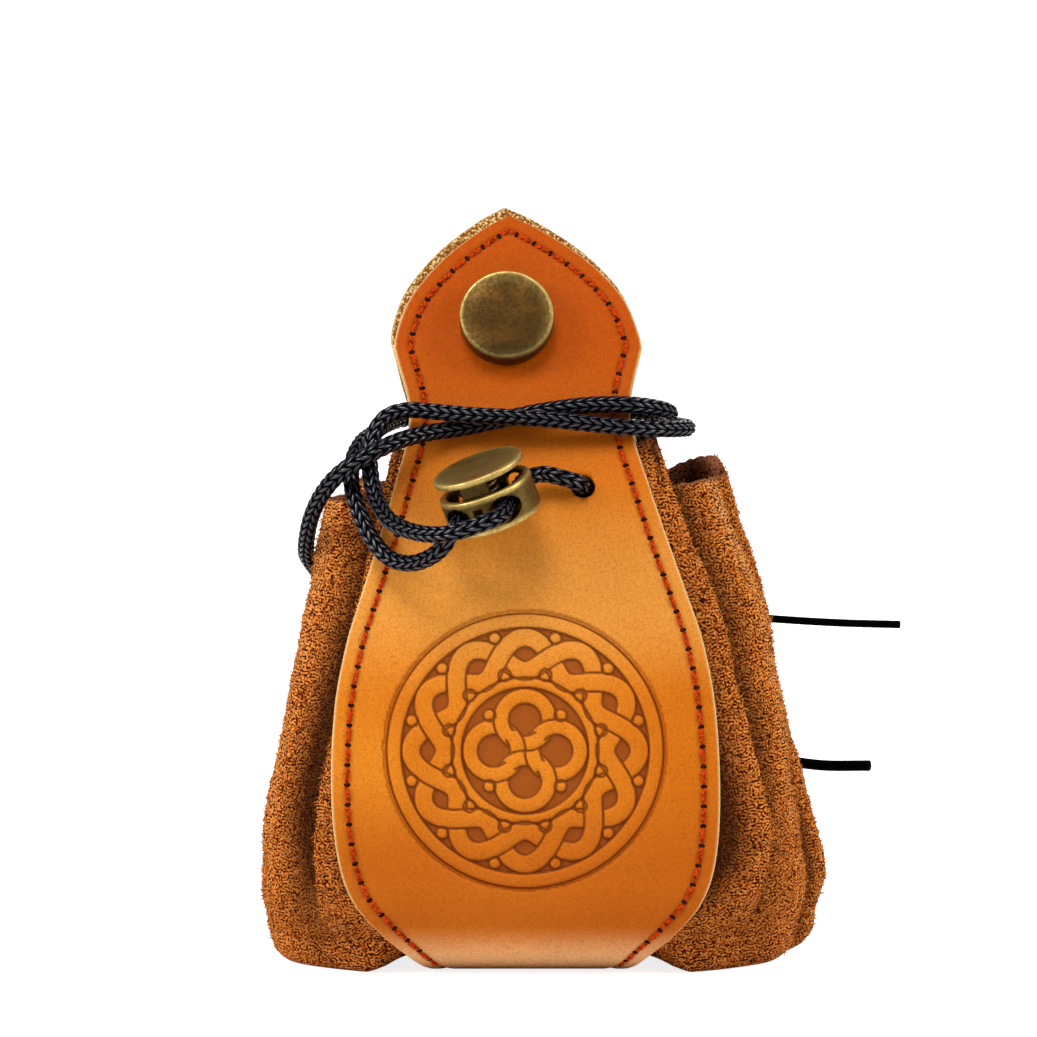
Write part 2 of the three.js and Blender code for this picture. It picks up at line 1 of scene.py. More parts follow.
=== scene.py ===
"""Drawstring dice bag of leather and suede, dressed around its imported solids.

The tables repeat the part's own sizes in millimetres; the meshes are in metres. The bag stands on its
base with its front facing -Y, as the solids do.
"""

import logging
import math
from collections.abc import Callable, Sequence
from dataclasses import dataclass, field
from enum import Enum
from functools import cached_property

import bmesh
import bpy
import numpy as np
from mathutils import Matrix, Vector, kdtree, noise


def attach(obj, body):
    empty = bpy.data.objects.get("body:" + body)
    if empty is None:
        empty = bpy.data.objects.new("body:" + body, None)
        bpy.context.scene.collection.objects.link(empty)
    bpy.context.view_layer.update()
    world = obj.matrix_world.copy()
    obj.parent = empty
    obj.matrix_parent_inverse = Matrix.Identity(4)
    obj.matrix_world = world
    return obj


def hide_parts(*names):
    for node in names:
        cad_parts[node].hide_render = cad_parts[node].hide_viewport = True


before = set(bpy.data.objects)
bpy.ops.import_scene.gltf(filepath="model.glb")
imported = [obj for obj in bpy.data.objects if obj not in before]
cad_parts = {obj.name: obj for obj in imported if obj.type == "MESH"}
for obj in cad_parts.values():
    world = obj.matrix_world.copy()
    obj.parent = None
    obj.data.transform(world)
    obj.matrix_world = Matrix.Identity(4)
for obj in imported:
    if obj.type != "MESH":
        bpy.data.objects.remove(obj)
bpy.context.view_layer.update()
MM = 0.001
LOG = logging.getLogger("dice_bag")

Array = np.ndarray
Colour = tuple[float, float, float]
Point = tuple[float, float, float]


class Body(Enum):
    """Moving bodies of the frame."""

    BAG = "bag"
    BUTTON = "lock_button"


class Slot(Enum):
    """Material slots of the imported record."""

    LEATHER = "strap_leather"
    SUEDE = "suede"
    BRASS = "antique_brass"
    CORD = "waxed_cord"


class Socket(Enum):
    """Kinds of socket that a node group shows."""

    FLOAT = "NodeSocketFloat"
    VECTOR = "NodeSocketVector"
    SHAPE = "NodeSocketGeometry"


class Tree(Enum):
    """Kinds of node group."""

    SHADER = "ShaderNodeTree"
    GEOMETRY = "GeometryNodeTree"


class Side(Enum):
    """Sides of the pouch, with the sign of x."""

    RIGHT = 1
    LEFT = -1


class Face(Enum):
    """Front and back of the bag, with the sign of y."""

    FRONT = -1
    BACK = 1


# Small helpers for numbers


def clamp01(value: Array) -> Array:
    """Value held between 0 and 1."""
    return np.clip(value, 0.0, 1.0)


def mix(start: Array, end: Array, share: Array) -> Array:
    """Straight blend from start to end."""
    return start + (end - start) * share


def smooth_step(low: float, high: float, value: Array) -> Array:
    """Soft rise from 0 at low to 1 at high."""
    t = clamp01((value - low) / (high - low))
    return t * t * (3 - 2 * t)


def polar(radius: Array, angle: Array) -> Array:
    """Flat places at radii and angles."""
    return np.stack([radius * np.cos(angle), radius * np.sin(angle)], -1)


def unit(vectors: Array) -> Array:
    """Vectors scaled to length 1."""
    return vectors / np.linalg.norm(vectors, axis=-1, keepdims=True)


def noise_at(points: Array, size: float, seed: float) -> Array:
    """Smooth noise at points.

    Args:
        points: places in mm, one per row.
        size: width of a lump in mm.
        seed: shift of the noise field.

    Returns:
        One value per point, from about -1 to 1.
    """
    return np.array([noise.noise(Vector(p) / size + Vector((seed, seed, seed))) for p in points])


@dataclass(frozen=True)
class HeightTable:
    """Columns of lengths against height, read smoothly between the rows."""

    rows: tuple[tuple[float, ...], ...]

    def at(self, column: int, z: Array) -> Array:
        """Values of a column at heights.

        Args:
            column: number of the column, where 0 is the height.
            z: heights in mm.

        Returns:
            The column's values, held at the first and last row.
        """
        table = np.array(self.rows)
        heights, values = table[:, 0], table[:, column]
        last = len(heights) - 1
        above = np.minimum(np.arange(last + 1) + 1, last)
        below = np.maximum(np.arange(last + 1) - 1, 0)
        slopes = (values[above] - values[below]) / (heights[above] - heights[below])
        z = np.clip(z, heights[0], heights[-1])
        i = np.clip(np.searchsorted(heights, z, side="right") - 1, 0, last - 1)
        span = heights[i + 1] - heights[i]
        t = (z - heights[i]) / span
        start = values[i] * (1 + 2 * t) + slopes[i] * span * t
        end = values[i + 1] * (3 - 2 * t) + slopes[i + 1] * span * (t - 1)
        return start * (1 - t) ** 2 + end * t**2


# Small helpers for meshes


def grid_faces(rows: int, columns: int) -> Array:
    """Quads between rows of points that close on themselves.

    Args:
        rows: number of rows.
        columns: number of points in a row.

    Returns:
        Four point numbers per quad.
    """
    row, column = np.meshgrid(np.arange(rows - 1), np.arange(columns), indexing="ij")
    here = row * columns + column
    after = row * columns + (column + 1) % columns
    return np.stack([here, after, after + columns, here + columns], -1).reshape(-1, 4)


def closed_rings(rings: Array) -> tuple[Array, list[Sequence[int]]]:
    """Points and faces of a closed skin over rings, with a pole at each end.

    Args:
        rings: places in mm, shaped (rings, points of a ring, 3).

    Returns:
        The points and the faces.
    """
    count, around = rings.shape[:2]
    points = np.vstack([rings.reshape(-1, 3), rings[0].mean(0), rings[-1].mean(0)])
    low, high = count * around, count * around + 1
    faces = grid_faces(count, around).tolist()
    for k in range(around):
        after = (k + 1) % around
        faces.append((low, after, k))
        faces.append((high, low - around + k, low - around + after))
    return points, faces


def stand(name: str, data: bpy.types.ID) -> bpy.types.Object:
    """Puts a mesh, light or camera into the scene.

    Args:
        name: name of the object.
        data: what it shows.

    Returns:
        The object.
    """
    made = bpy.data.objects.new(name, data)
    bpy.context.scene.collection.objects.link(made)
    return made


def make_object(
    name: str,
    points: Array,
    faces: list[Sequence[int]],
    material: bpy.types.Material | None = None,
    marks: dict[str, Array] | None = None,
    sharp_deg: float = 60.0,
) -> bpy.types.Object:
    """Object of a closed mesh with its faces turned outwards.

    Args:
        name: name of the object.
        points: places in mm.
        faces: point numbers of each face.
        material: finish of the whole piece.
        marks: values per point that the finish reads as attributes.
        sharp_deg: angle beyond which an edge stays sharp.

    Returns:
        The object, linked to the scene.
    """
    mesh = bpy.data.meshes.new(name)
    mesh.from_pydata((points * MM).tolist(), [], faces)
    for mark, values in (marks or {}).items():
        layer = mesh.attributes.new(mark, "FLOAT", "POINT")
        layer.data.foreach_set("value", np.asarray(values, np.float32).ravel())
    shaped = bmesh.new()
    shaped.from_mesh(mesh)
    bmesh.ops.recalc_face_normals(shaped, faces=shaped.faces)
    shaped.to_mesh(mesh)
    shaped.free()
    mesh.shade_smooth()
    mesh.set_sharp_from_angle(angle=math.radians(sharp_deg))
    if material:
        mesh.materials.append(material)
    return stand(name, mesh)


def plain_copy(made: bpy.types.Object) -> bpy.types.Object:
    """Makes what an object's modifiers show its own mesh, and removes them.

    Args:
        made: the object.

    Returns:
        The same object.
    """
    graph = bpy.context.evaluated_depsgraph_get()
    mesh = bpy.data.meshes.new_from_object(made.evaluated_get(graph), depsgraph=graph)
    mesh.name = made.name
    made.modifiers.clear()
    made.data = mesh
    return made


def laid_by_nodes(
    name: str, mesh: bpy.types.Mesh, tree: bpy.types.NodeTree, sizes: dict[str, float]
) -> bpy.types.Object:
    """Plain object of what a geometry node tree makes of a mesh.

    Args:
        name: name of the object.
        mesh: what the tree works on.
        tree: the tree.
        sizes: values of its inputs by name.

    Returns:
        The object, with no modifier left on it.
    """
    made = stand(name, mesh)
    nodes = made.modifiers.new(tree.name, "NODES")
    nodes.node_group = tree
    for socket in tree.interface.items_tree:
        if socket.in_out == "INPUT" and socket.name in sizes:
            nodes[socket.identifier] = sizes[socket.name]
    return plain_copy(made)


def carve(made: bpy.types.Object, cutters: list[bpy.types.Object]) -> bpy.types.Object:
    """Takes the cutters away from a closed piece.

    Args:
        made: the piece.
        cutters: closed shapes, removed afterwards.

    Returns:
        The piece, with the openings in its mesh.
    """
    for cutter in cutters:
        opening = made.modifiers.new("opening", "BOOLEAN")
        opening.operation = "DIFFERENCE"
        opening.solver = "EXACT"
        opening.object = cutter
    plain_copy(made)
    for cutter in cutters:
        bpy.data.objects.remove(cutter)
    return made


def prism(name: str, outline: Array, along: Array, reach: float, marks: dict[str, float]) -> bpy.types.Object:
    """Straight cutter of any closed outline.

    Args:
        name: name of the object.
        outline: places in mm round the middle of the cutter.
        along: direction of its length.
        reach: half its length in mm.
        marks: attribute values that its faces leave in a cut.

    Returns:
        The cutter.
    """
    points, faces = closed_rings(np.stack([outline + along * step for step in (-reach, 0.0, reach)]))
    values = {mark: np.full(len(points), value) for mark, value in marks.items()}
    return make_object(name, points, faces, marks=values)


def settle(made: bpy.types.Object, body: Body, nodes: Sequence[str] = ()) -> None:
    """Hands a finished piece over to the frame.

    Args:
        made: the piece.
        body: the body that it rides on.
        nodes: the frame's nodes that it stands for.
    """
    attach(made, body.value)
    if nodes:
        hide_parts(*nodes)
    LOG.info("%s: %d faces on %s", made.name, len(made.data.polygons), body.value)


# Finishes


def srgb(red: int, green: int, blue: int) -> Colour:
    """Colour from eight-bit screen values."""
    shares = (red / 255, green / 255, blue / 255)
    return tuple(c / 12.92 if c <= 0.04045 else ((c + 0.055) / 1.055) ** 2.4 for c in shares)


class Graph:
    """A node tree being laid out: adds nodes, sets their inputs and joins their sockets."""

    def __init__(self, tree: bpy.types.NodeTree) -> None:
        """Starts on a tree."""
        self.tree = tree

    def fill(self, node: bpy.types.Node, inputs: dict) -> bpy.types.Node:
        """Sets inputs of a node.

        Args:
            node: the node.
            inputs: values, colours or sockets by input name or number.

        Returns:
            The same node.
        """
        for key, value in inputs.items():
            socket = node.inputs[key]
            if isinstance(value, bpy.types.NodeSocket):
                self.tree.links.new(value, socket)
            elif socket.type == "RGBA":
                socket.default_value = (*value, 1.0)
            else:
                socket.default_value = value
        return node

    def add(self, kind: str, inputs: dict | None = None, **settings: object) -> bpy.types.Node:
        """Adds a node.

        Args:
            kind: the node's type name.
            inputs: values, colours or sockets by input name or number.
            settings: properties of the node.

        Returns:
            The node.
        """
        node = self.tree.nodes.new(kind)
        for key, value in settings.items():
            setattr(node, key, value)
        return self.fill(node, inputs or {})

    def get(self, kind: str, inputs: dict | None = None, **settings: object) -> bpy.types.NodeSocket:
        """First output of a new node."""
        return self.add(kind, inputs, **settings).outputs[0]

    def math(self, operation: str, a: object, b: object = 0.0) -> bpy.types.NodeSocket:
        """Result of a sum of two values or sockets."""
        return self.get("ShaderNodeMath", {0: a, 1: b}, operation=operation)

    def plus(self, a: object, b: object) -> bpy.types.NodeSocket:
        """One value added to another."""
        return self.math("ADD", a, b)

    def times(self, a: object, b: object) -> bpy.types.NodeSocket:
        """One value multiplied by another."""
        return self.math("MULTIPLY", a, b)

    def blend(self, share: object, under: object, over: object) -> bpy.types.NodeSocket:
        """Colour blended from under to over by a share."""
        return self.add("ShaderNodeMix", {0: share, 6: under, 7: over}, data_type="RGBA").outputs[2]

    def tint(self, under: object, over: object, mask: object, strength: float) -> bpy.types.NodeSocket:
        """Colour laid over another where a mask shows, at most at that strength."""
        return self.blend(self.times(mask, strength), under, over)

    def rise(self, value: object, low: object, high: object) -> bpy.types.NodeSocket:
        """Mask that rises softly from 0 at low to 1 at high."""
        inputs = {"Value": value, "From Min": low, "From Max": high}
        return self.get("ShaderNodeMapRange", inputs, interpolation_type="SMOOTHSTEP")

    def fall(self, value: object, low: object, high: object) -> bpy.types.NodeSocket:
        """Mask that falls softly from 1 at low to 0 at high."""
        return self.math("SUBTRACT", 1.0, self.rise(value, low, high))

    def mark(self, name: str) -> bpy.types.NodeSocket:
        """Value of the mesh attribute of that name."""
        return self.add("ShaderNodeAttribute", attribute_name=name).outputs["Fac"]

    def read(self, name: str, kind: str) -> bpy.types.NodeSocket:
        """Values of a named attribute of the points that geometry nodes work on."""
        return self.get("GeometryNodeInputNamedAttribute", {"Name": name}, data_type=kind)

    def group(self, tree: bpy.types.NodeTree, **inputs: object) -> bpy.types.NodeOutputs:
        """Outputs of a shared effect, with its inputs by name."""
        return self.add("ShaderNodeGroup", inputs, node_tree=tree).outputs


class Dressing(Graph):
    """Nodes of one material: its shader, and the place on the piece that its patterns read."""

    def __init__(self, tree: bpy.types.NodeTree) -> None:
        """Starts the material.

        Args:
            tree: its empty node tree.
        """
        super().__init__(tree)
        self.shader = self.add("ShaderNodeBsdfPrincipled")
        self.add("ShaderNodeOutputMaterial", {"Surface": self.shader.outputs[0]})
        self.place = self.add("ShaderNodeTexCoord").outputs["Object"]

    def wear(self, **inputs: object) -> None:
        """Sets inputs of the shader, where a space is written as an underscore."""
        self.fill(self.shader, {key.replace("_", " "): value for key, value in inputs.items()})

    def bump(self, height: bpy.types.NodeSocket, depth_mm: float, strength: float) -> bpy.types.NodeSocket:
        """Normal of a surface with that height field."""
        inputs = {"Height": height, "Distance": depth_mm * MM, "Strength": strength}
        return self.get("ShaderNodeBump", inputs)


def new_group(name: str, kind: Tree, inputs: dict[str, Socket], outputs: dict[str, Socket]) -> Graph:
    """An empty node group with named sockets.

    Args:
        name: name of the group.
        kind: what its tree lays out.
        inputs: kind of socket by input name.
        outputs: kind of socket by output name.

    Returns:
        The group, ready to be laid out.
    """
    tree = bpy.data.node_groups.new(name, kind.value)
    for direction, sockets in (("INPUT", inputs), ("OUTPUT", outputs)):
        for label, socket in sockets.items():
            tree.interface.new_socket(label, in_out=direction, socket_type=socket.value)
    return Graph(tree)


class Effects:
    """Shader groups that several finishes share."""

    @cached_property
    def mottle(self) -> bpy.types.NodeTree:
        """Cloudy patches as a mask between two thresholds.

        Returns:
            The group.
        """
        inputs = {"Vector": Socket.VECTOR}
        inputs |= {label: Socket.FLOAT for label in ("Scale", "Detail", "Low", "High")}
        g = new_group("mottle", Tree.SHADER, inputs, {"Mask": Socket.FLOAT})
        given = g.add("NodeGroupInput").outputs
        cloud = g.get("ShaderNodeTexNoise", {label: given[label] for label in ("Vector", "Scale", "Detail")})
        g.add("NodeGroupOutput", {"Mask": g.rise(cloud, given["Low"], given["High"])})
        return g.tree

    @cached_property
    def nap(self) -> bpy.types.NodeTree:
        """Tangled clumps of fibre, as heights and as a mask of the pits between them.

        Returns:
            The group.
        """
        inputs = {"Vector": Socket.VECTOR, "Scale": Socket.FLOAT, "Tangle": Socket.FLOAT}
        g = new_group("nap", Tree.SHADER, inputs, {"Height": Socket.FLOAT, "Pits": Socket.FLOAT})
        given = g.add("NodeGroupInput").outputs
        place, scale = given["Vector"], given["Scale"]
        stirred = g.add("ShaderNodeTexNoise", {"Vector": place, "Scale": scale, "Detail": 2.0})
        middle = {0: stirred.outputs["Color"], 1: (0.5, 0.5, 0.5)}
        swirl = g.get("ShaderNodeVectorMath", middle, operation="SUBTRACT")
        reach = {0: swirl, "Scale": g.math("DIVIDE", given["Tangle"], scale)}
        push = g.get("ShaderNodeVectorMath", reach, operation="SCALE")
        moved = g.get("ShaderNodeVectorMath", {0: place, 1: push}, operation="ADD")
        cells = g.add("ShaderNodeTexVoronoi", {"Vector": moved, "Scale": scale})
        clumps = g.math("SUBTRACT", 1.0, cells.outputs["Distance"])
        finer = {"Vector": moved, "Scale": g.times(scale, 2.3), "Detail": 2.0, "Roughness": 0.6}
        fibres = g.get("ShaderNodeTexNoise", finer)
        height = g.plus(g.times(clumps, 0.6), g.times(fibres, 0.4))
        g.add("NodeGroupOutput", {"Height": height, "Pits": g.fall(height, 0.38, 0.5)})
        return g.tree

    @cached_property
    def pores(self) -> bpy.types.NodeTree:
        """Sparse fine pores, as a mask and as a shallow grain.

        Returns:
            The group.
        """
        inputs = {"Vector": Socket.VECTOR, "Scale": Socket.FLOAT, "Radius": Socket.FLOAT}
        g = new_group("pores", Tree.SHADER, inputs, {"Mask": Socket.FLOAT, "Grain": Socket.FLOAT})
        given = g.add("NodeGroupInput").outputs
        place, scale = given["Vector"], given["Scale"]
        cells = g.add("ShaderNodeTexVoronoi", {"Vector": place, "Scale": scale}).outputs
        dots = g.math("LESS_THAN", cells["Distance"], given["Radius"])
        chosen = g.math("GREATER_THAN", g.get("ShaderNodeSeparateColor", {0: cells["Color"]}), 0.55)
        finer = {"Vector": place, "Scale": g.times(scale, 1.6), "Detail": 3.0}
        grain = g.get("ShaderNodeTexNoise", finer)
        g.add("NodeGroupOutput", {"Mask": g.times(dots, chosen), "Grain": grain})
        return g.tree


EFFECTS = Effects()


@dataclass(frozen=True)
class Finish:
    """A material made of nodes, built once."""

    name: str

    def material(self) -> bpy.types.Material:
        """Gives the material, which is laid out at its first use.

        Returns:
            The material.
        """
        made = bpy.data.materials.get(self.name)
        if made is None:
            made = bpy.data.materials.new(self.name)
            made.use_nodes = True
            made.node_tree.nodes.clear()
            self.lay_out(Dressing(made.node_tree))
        return made

    def lay_out(self, g: Dressing) -> None:
        """Adds the finish's own nodes to a new material."""
        raise NotImplementedError


@dataclass(frozen=True)
class Band:
    """A tint between two heights: its strength, and where it fades in and out, in m."""

    tint: Colour
    strength: float
    fade_in: tuple[float, float]
    fade_out: tuple[float, float]


@dataclass(frozen=True)
class LeatherFinish(Finish):
    """Smooth oiled leather with pores, pressed ornament, pale cut edges and a rough flesh side, with painted
    sheen, shade and floor reflection in its colour.
    """

    tan: Colour = srgb(224, 134, 36)
    amber: Colour = srgb(202, 106, 18)
    ground: Colour = srgb(150, 74, 26)
    groove: Colour = srgb(104, 44, 10)
    pore: Colour = srgb(120, 58, 14)
    cream: Colour = srgb(240, 212, 150)
    flesh: Colour = srgb(166, 118, 58)
    bands: tuple[Band, ...] = (
        # Painted sheen: a pale honey band over the upper panel.
        Band(srgb(232, 160, 72), 0.7, (0.044, 0.058), (0.062, 0.08)),
        # Painted shade: darker over the lower belly.
        Band(srgb(180, 86, 18), 0.7, (0.003, 0.01), (0.016, 0.034)),
        # Painted reflection of the pale floor along the foot.
        Band(srgb(236, 190, 138), 0.82, (-0.002, -0.001), (0.002, 0.009)),
        # Deeper, redder tone up the tab, partly the tab's own colour and partly painted shade below the
        # cords.
        Band(srgb(174, 65, 0), 0.9, (0.07, 0.1), (0.2, 0.3)),
    )
    # Painted shade: the panel turns amber towards its right side, away from the light.
    painted_side_shade: tuple[float, float] = (-0.005, 0.028)

    def lay_out(self, g: Dressing) -> None:
        """Colours by patch, height and pressed mark, with a fine grain; the side and height tints paint
        shade, sheen and a floor reflection.

        Args:
            g: the new material's nodes.
        """
        cloud = g.group(EFFECTS.mottle, Vector=g.place, Scale=70.0, Detail=4.0, Low=0.3, High=0.75)[0]
        tone = g.tint(self.tan, self.amber, cloud, 0.6)
        x, _, z = g.add("ShaderNodeSeparateXYZ", {0: g.place}).outputs
        # Painted shade towards the right side, then the height bands of painted light and tab colour.
        tone = g.tint(tone, self.amber, g.rise(x, *self.painted_side_shade), 0.85)
        for band in self.bands:
            shown = g.times(g.rise(z, *band.fade_in), g.fall(z, *band.fade_out))
            tone = g.tint(tone, band.tint, shown, band.strength)
        peel = g.group(EFFECTS.mottle, Vector=g.place, Scale=1300.0, Detail=3.0, Low=0.36, High=0.64)[0]
        tone = g.tint(tone, self.amber, peel, 0.14)
        fine = g.group(EFFECTS.pores, Vector=g.place, Scale=1900.0, Radius=0.16)
        tone = g.tint(tone, self.pore, fine["Mask"], 0.5)
        tone = g.tint(tone, self.pore, g.fall(fine["Grain"], 0.3, 0.56), 0.28)
        ground = g.rise(g.mark("ground"), 0.0, 0.22)
        tone = g.tint(tone, self.ground, ground, 0.9)
        tone = g.tint(tone, self.groove, g.fall(g.mark("groove"), -0.12, 0.1), 0.85)
        tone = g.tint(tone, self.pore, g.fall(g.mark("seam"), 0.2, 1.1), 0.28)
        fuzz = g.group(EFFECTS.nap, Vector=g.place, Scale=2200.0, Tangle=1.5)
        flesh, edge = g.mark("flesh"), g.mark("edge")
        rough_side = g.tint(self.flesh, self.pore, fuzz["Pits"], 0.85)
        rough_side = g.blend(g.rise(fuzz["Height"], 0.52, 0.64), rough_side, self.cream)
        tone = g.blend(flesh, tone, rough_side)
        tone = g.blend(edge, tone, g.tint(self.cream, self.flesh, fuzz["Pits"], 0.35))
        raw = g.math("MAXIMUM", flesh, edge)
        stipple = g.plus(g.times(ground, 0.6), g.times(raw, 2.5))
        relief = g.plus(fine["Grain"], g.times(fuzz["Height"], stipple))
        gloss = g.plus(g.plus(0.4, g.times(raw, 0.35)), g.times(cloud, 0.08))
        g.wear(Base_Color=tone, Roughness=gloss, Specular_IOR_Level=0.04, Normal=g.bump(relief, 0.12, 0.5))


@dataclass(frozen=True)
class SuedeFinish(Finish):
    """Coarse napped suede: clumped fibre with painted shade in the pits, pale crests from wear and painted
    highlight, painted shade in the folds, and a raw cut rim.
    """

    # dark paints shade in the dips, beside and behind the strap and inside; pit paints shade between clumps
    # of nap; crest is pale from wear and painted highlight.
    dark: Colour = srgb(52, 18, 2)
    pit: Colour = srgb(46, 12, 1)
    body: Colour = srgb(198, 88, 23)
    light: Colour = srgb(255, 166, 76)
    crest: Colour = srgb(252, 192, 118)
    raw: Colour = srgb(160, 96, 64)

    def lay_out(self, g: Dressing) -> None:
        """Three tones by the height of the nap, the lowest a painted shade, with pale crests from wear and
        painted highlight and painted shade in the folds.

        Args:
            g: the new material's nodes.
        """
        nap = g.group(EFFECTS.nap, Vector=g.place, Scale=1900.0, Tangle=1.2)["Height"]
        laid = {"Vector": g.place, "Scale": 900.0, "Frequency": 2.2, "Anisotropy": 0.0}
        strokes = g.get("ShaderNodeTexGabor", laid, gabor_type="3D")
        height = g.plus(g.times(strokes, 0.65), g.times(nap, 0.35))
        # The lowest nap, in the pits between clumps, is painted shade.
        tone = g.blend(g.rise(height, 0.415, 0.492), self.pit, self.body)
        tone = g.tint(tone, self.light, g.rise(height, 0.492, 0.565), 0.95)
        tone = g.tint(tone, self.light, g.rise(g.mark("tuft"), 0.3, 0.8), 0.8)
        # Pale crests, partly wear and partly painted highlight.
        wear_and_painted_light = g.times(g.rise(height, 0.38, 0.56), g.mark("crest"))
        tone = g.tint(tone, self.crest, wear_and_painted_light, 0.6)
        # Painted shade in the dips, beside and behind the strap, and inside the pouch.
        tone = g.tint(tone, self.dark, g.mark("painted_suede_shade"), 0.92)
        rim = g.blend(g.fall(height, 0.36, 0.5), self.raw, self.pit)
        tone = g.blend(g.mark("cut"), tone, rim)
        g.wear(Base_Color=tone, Roughness=0.95, Specular_IOR_Level=0.08, Normal=g.bump(nap, 0.6, 1.0))


@dataclass(frozen=True)
class BrassFinish(Finish):
    """Antiqued brass: dark patina on the faces, bright along the rims from wear and painted highlight, with
    painted shade in hollows and a painted dark reflection low on the snap.
    """

    bright: Colour = srgb(220, 190, 112)
    brass: Colour = srgb(144, 112, 50)
    patina: Colour = srgb(58, 44, 18)
    face: Colour = srgb(74, 49, 17)
    # Painted shade: inside the cup, under the button's cap, on the legs and the spring, and a dark reflection
    # low on the snap.
    painted_brass_shade: Colour = srgb(34, 26, 10)

    def lay_out(self, g: Dressing) -> None:
        """Patina in clouds and specks, cleared along the rims by wear and painted highlight, and darkened by
        painted shade.

        Args:
            g: the new material's nodes.
        """
        cloud = g.group(EFFECTS.mottle, Vector=g.place, Scale=190.0, Detail=6.0, Low=0.32, High=0.62)[0]
        specks = g.group(EFFECTS.mottle, Vector=g.place, Scale=1500.0, Detail=5.0, Low=0.45, High=0.62)[0]
        tone = g.tint(g.blend(cloud, self.brass, self.patina), self.patina, specks, 0.35)
        tone = g.blend(g.mark("aged"), tone, g.tint(self.face, self.patina, cloud, 0.5))
        # Painted shade and painted dark reflection.
        tone = g.tint(tone, self.painted_brass_shade, g.mark("painted_brass_shade"), 0.8)
        cleared = g.math("SUBTRACT", 1.0, g.times(specks, 0.25))
        # Bright rims, partly wear and partly painted highlight.
        tone = g.blend(g.times(g.mark("edge"), cleared), tone, self.bright)
        gloss = g.plus(g.plus(0.34, g.times(cloud, 0.16)), g.times(specks, 0.1))
        g.wear(Base_Color=tone, Roughness=gloss, Metallic=0.95, Normal=g.bump(specks, 0.03, 0.25))


@dataclass(frozen=True)
class CordFinish(Finish):
    """Black waxed braid with a cool sheen on the backs of its plaits, partly painted into their colour."""

    yarn: Colour = srgb(1, 1, 1)
    # Painted sheen: the backs of the plaits are paler and bluish.
    wear_and_painted_light: Colour = srgb(40, 42, 54)

    def lay_out(self, g: Dressing) -> None:
        """Dull yarn in the hollows, a coat of wax and a painted pale bluish sheen on the backs.

        Args:
            g: the new material's nodes.
        """
        nap = g.group(EFFECTS.nap, Vector=g.place, Scale=2600.0, Tangle=0.2)["Height"]
        plait = g.mark("plait")
        backs = g.rise(plait, 0.3, 0.85)
        relief = g.plus(plait, g.times(nap, 0.12))
        tone = g.blend(backs, self.yarn, self.wear_and_painted_light)
        g.wear(Base_Color=tone, Roughness=0.6, Specular_IOR_Level=0.02, Normal=g.bump(relief, 0.2, 0.25))
        g.wear(Coat_Weight=g.times(backs, 0.95), Coat_Roughness=0.22, Coat_IOR=1.6)


@dataclass(frozen=True)
class ThreadFinish(Finish):
    """Twisted sewing thread."""

    dye: Colour = srgb(204, 66, 12)
    shade: Colour = srgb(132, 36, 6)

    def lay_out(self, g: Dressing) -> None:
        """Dyed fibre with a little variation.

        Args:
            g: the new material's nodes.
        """
        nap = g.group(EFFECTS.nap, Vector=g.place, Scale=2200.0, Tangle=0.3)
        tone = g.blend(nap["Pits"], self.dye, self.shade)
        raised = g.bump(nap["Height"], 0.08, 0.5)
        g.wear(Base_Color=tone, Roughness=0.8, Specular_IOR_Level=0.05, Normal=raised)


@dataclass(frozen=True)
class SlitFinish(Finish):
    """Painted shade of an awl slit's inside, on a flat lens."""

    shadow: Colour = srgb(34, 16, 6)
    lip: Colour = srgb(70, 34, 12)

    def lay_out(self, g: Dressing) -> None:
        """Nearly black, with a trace of the leather's own brown.

        Args:
            g: the new material's nodes.
        """
        cloud = g.group(EFFECTS.mottle, Vector=g.place, Scale=1800.0, Detail=2.0, Low=0.45, High=0.75)[0]
        tone = g.blend(cloud, self.shadow, self.lip)
        g.wear(Base_Color=tone, Roughness=1.0, Specular_IOR_Level=0.05)


@dataclass(frozen=True)
class FloorFinish(Finish):
    """Plain pale studio floor."""

    paint: Colour = srgb(250, 250, 250)
    glow: float = 0.86

    def lay_out(self, g: Dressing) -> None:
        """One matt colour, lit evenly where the camera sees it.

        Args:
            g: the new material's nodes.
        """
        glow = g.times(g.add("ShaderNodeLightPath").outputs["Is Camera Ray"], self.glow)
        g.wear(Base_Color=self.paint, Roughness=0.9, Specular_IOR_Level=0.1)
        g.wear(Emission_Color=self.paint, Emission_Strength=glow)


LEATHER = LeatherFinish("oiled_leather")
SUEDE = SuedeFinish("napped_suede")
BRASS = BrassFinish("antiqued_brass")
WAXED = CordFinish("waxed_braid")
THREAD = ThreadFinish("sewing_thread")
SLIT = SlitFinish("awl_slit")
FLOOR = FloorFinish("studio_floor")


# Studio


@dataclass(frozen=True)
class Lamp:
    """A soft box light aimed at the bag: place in m, width in m, power in W."""

    name: str
    place: Point
    width: float
    power: float
    tint: Colour = (1.0, 1.0, 1.0)


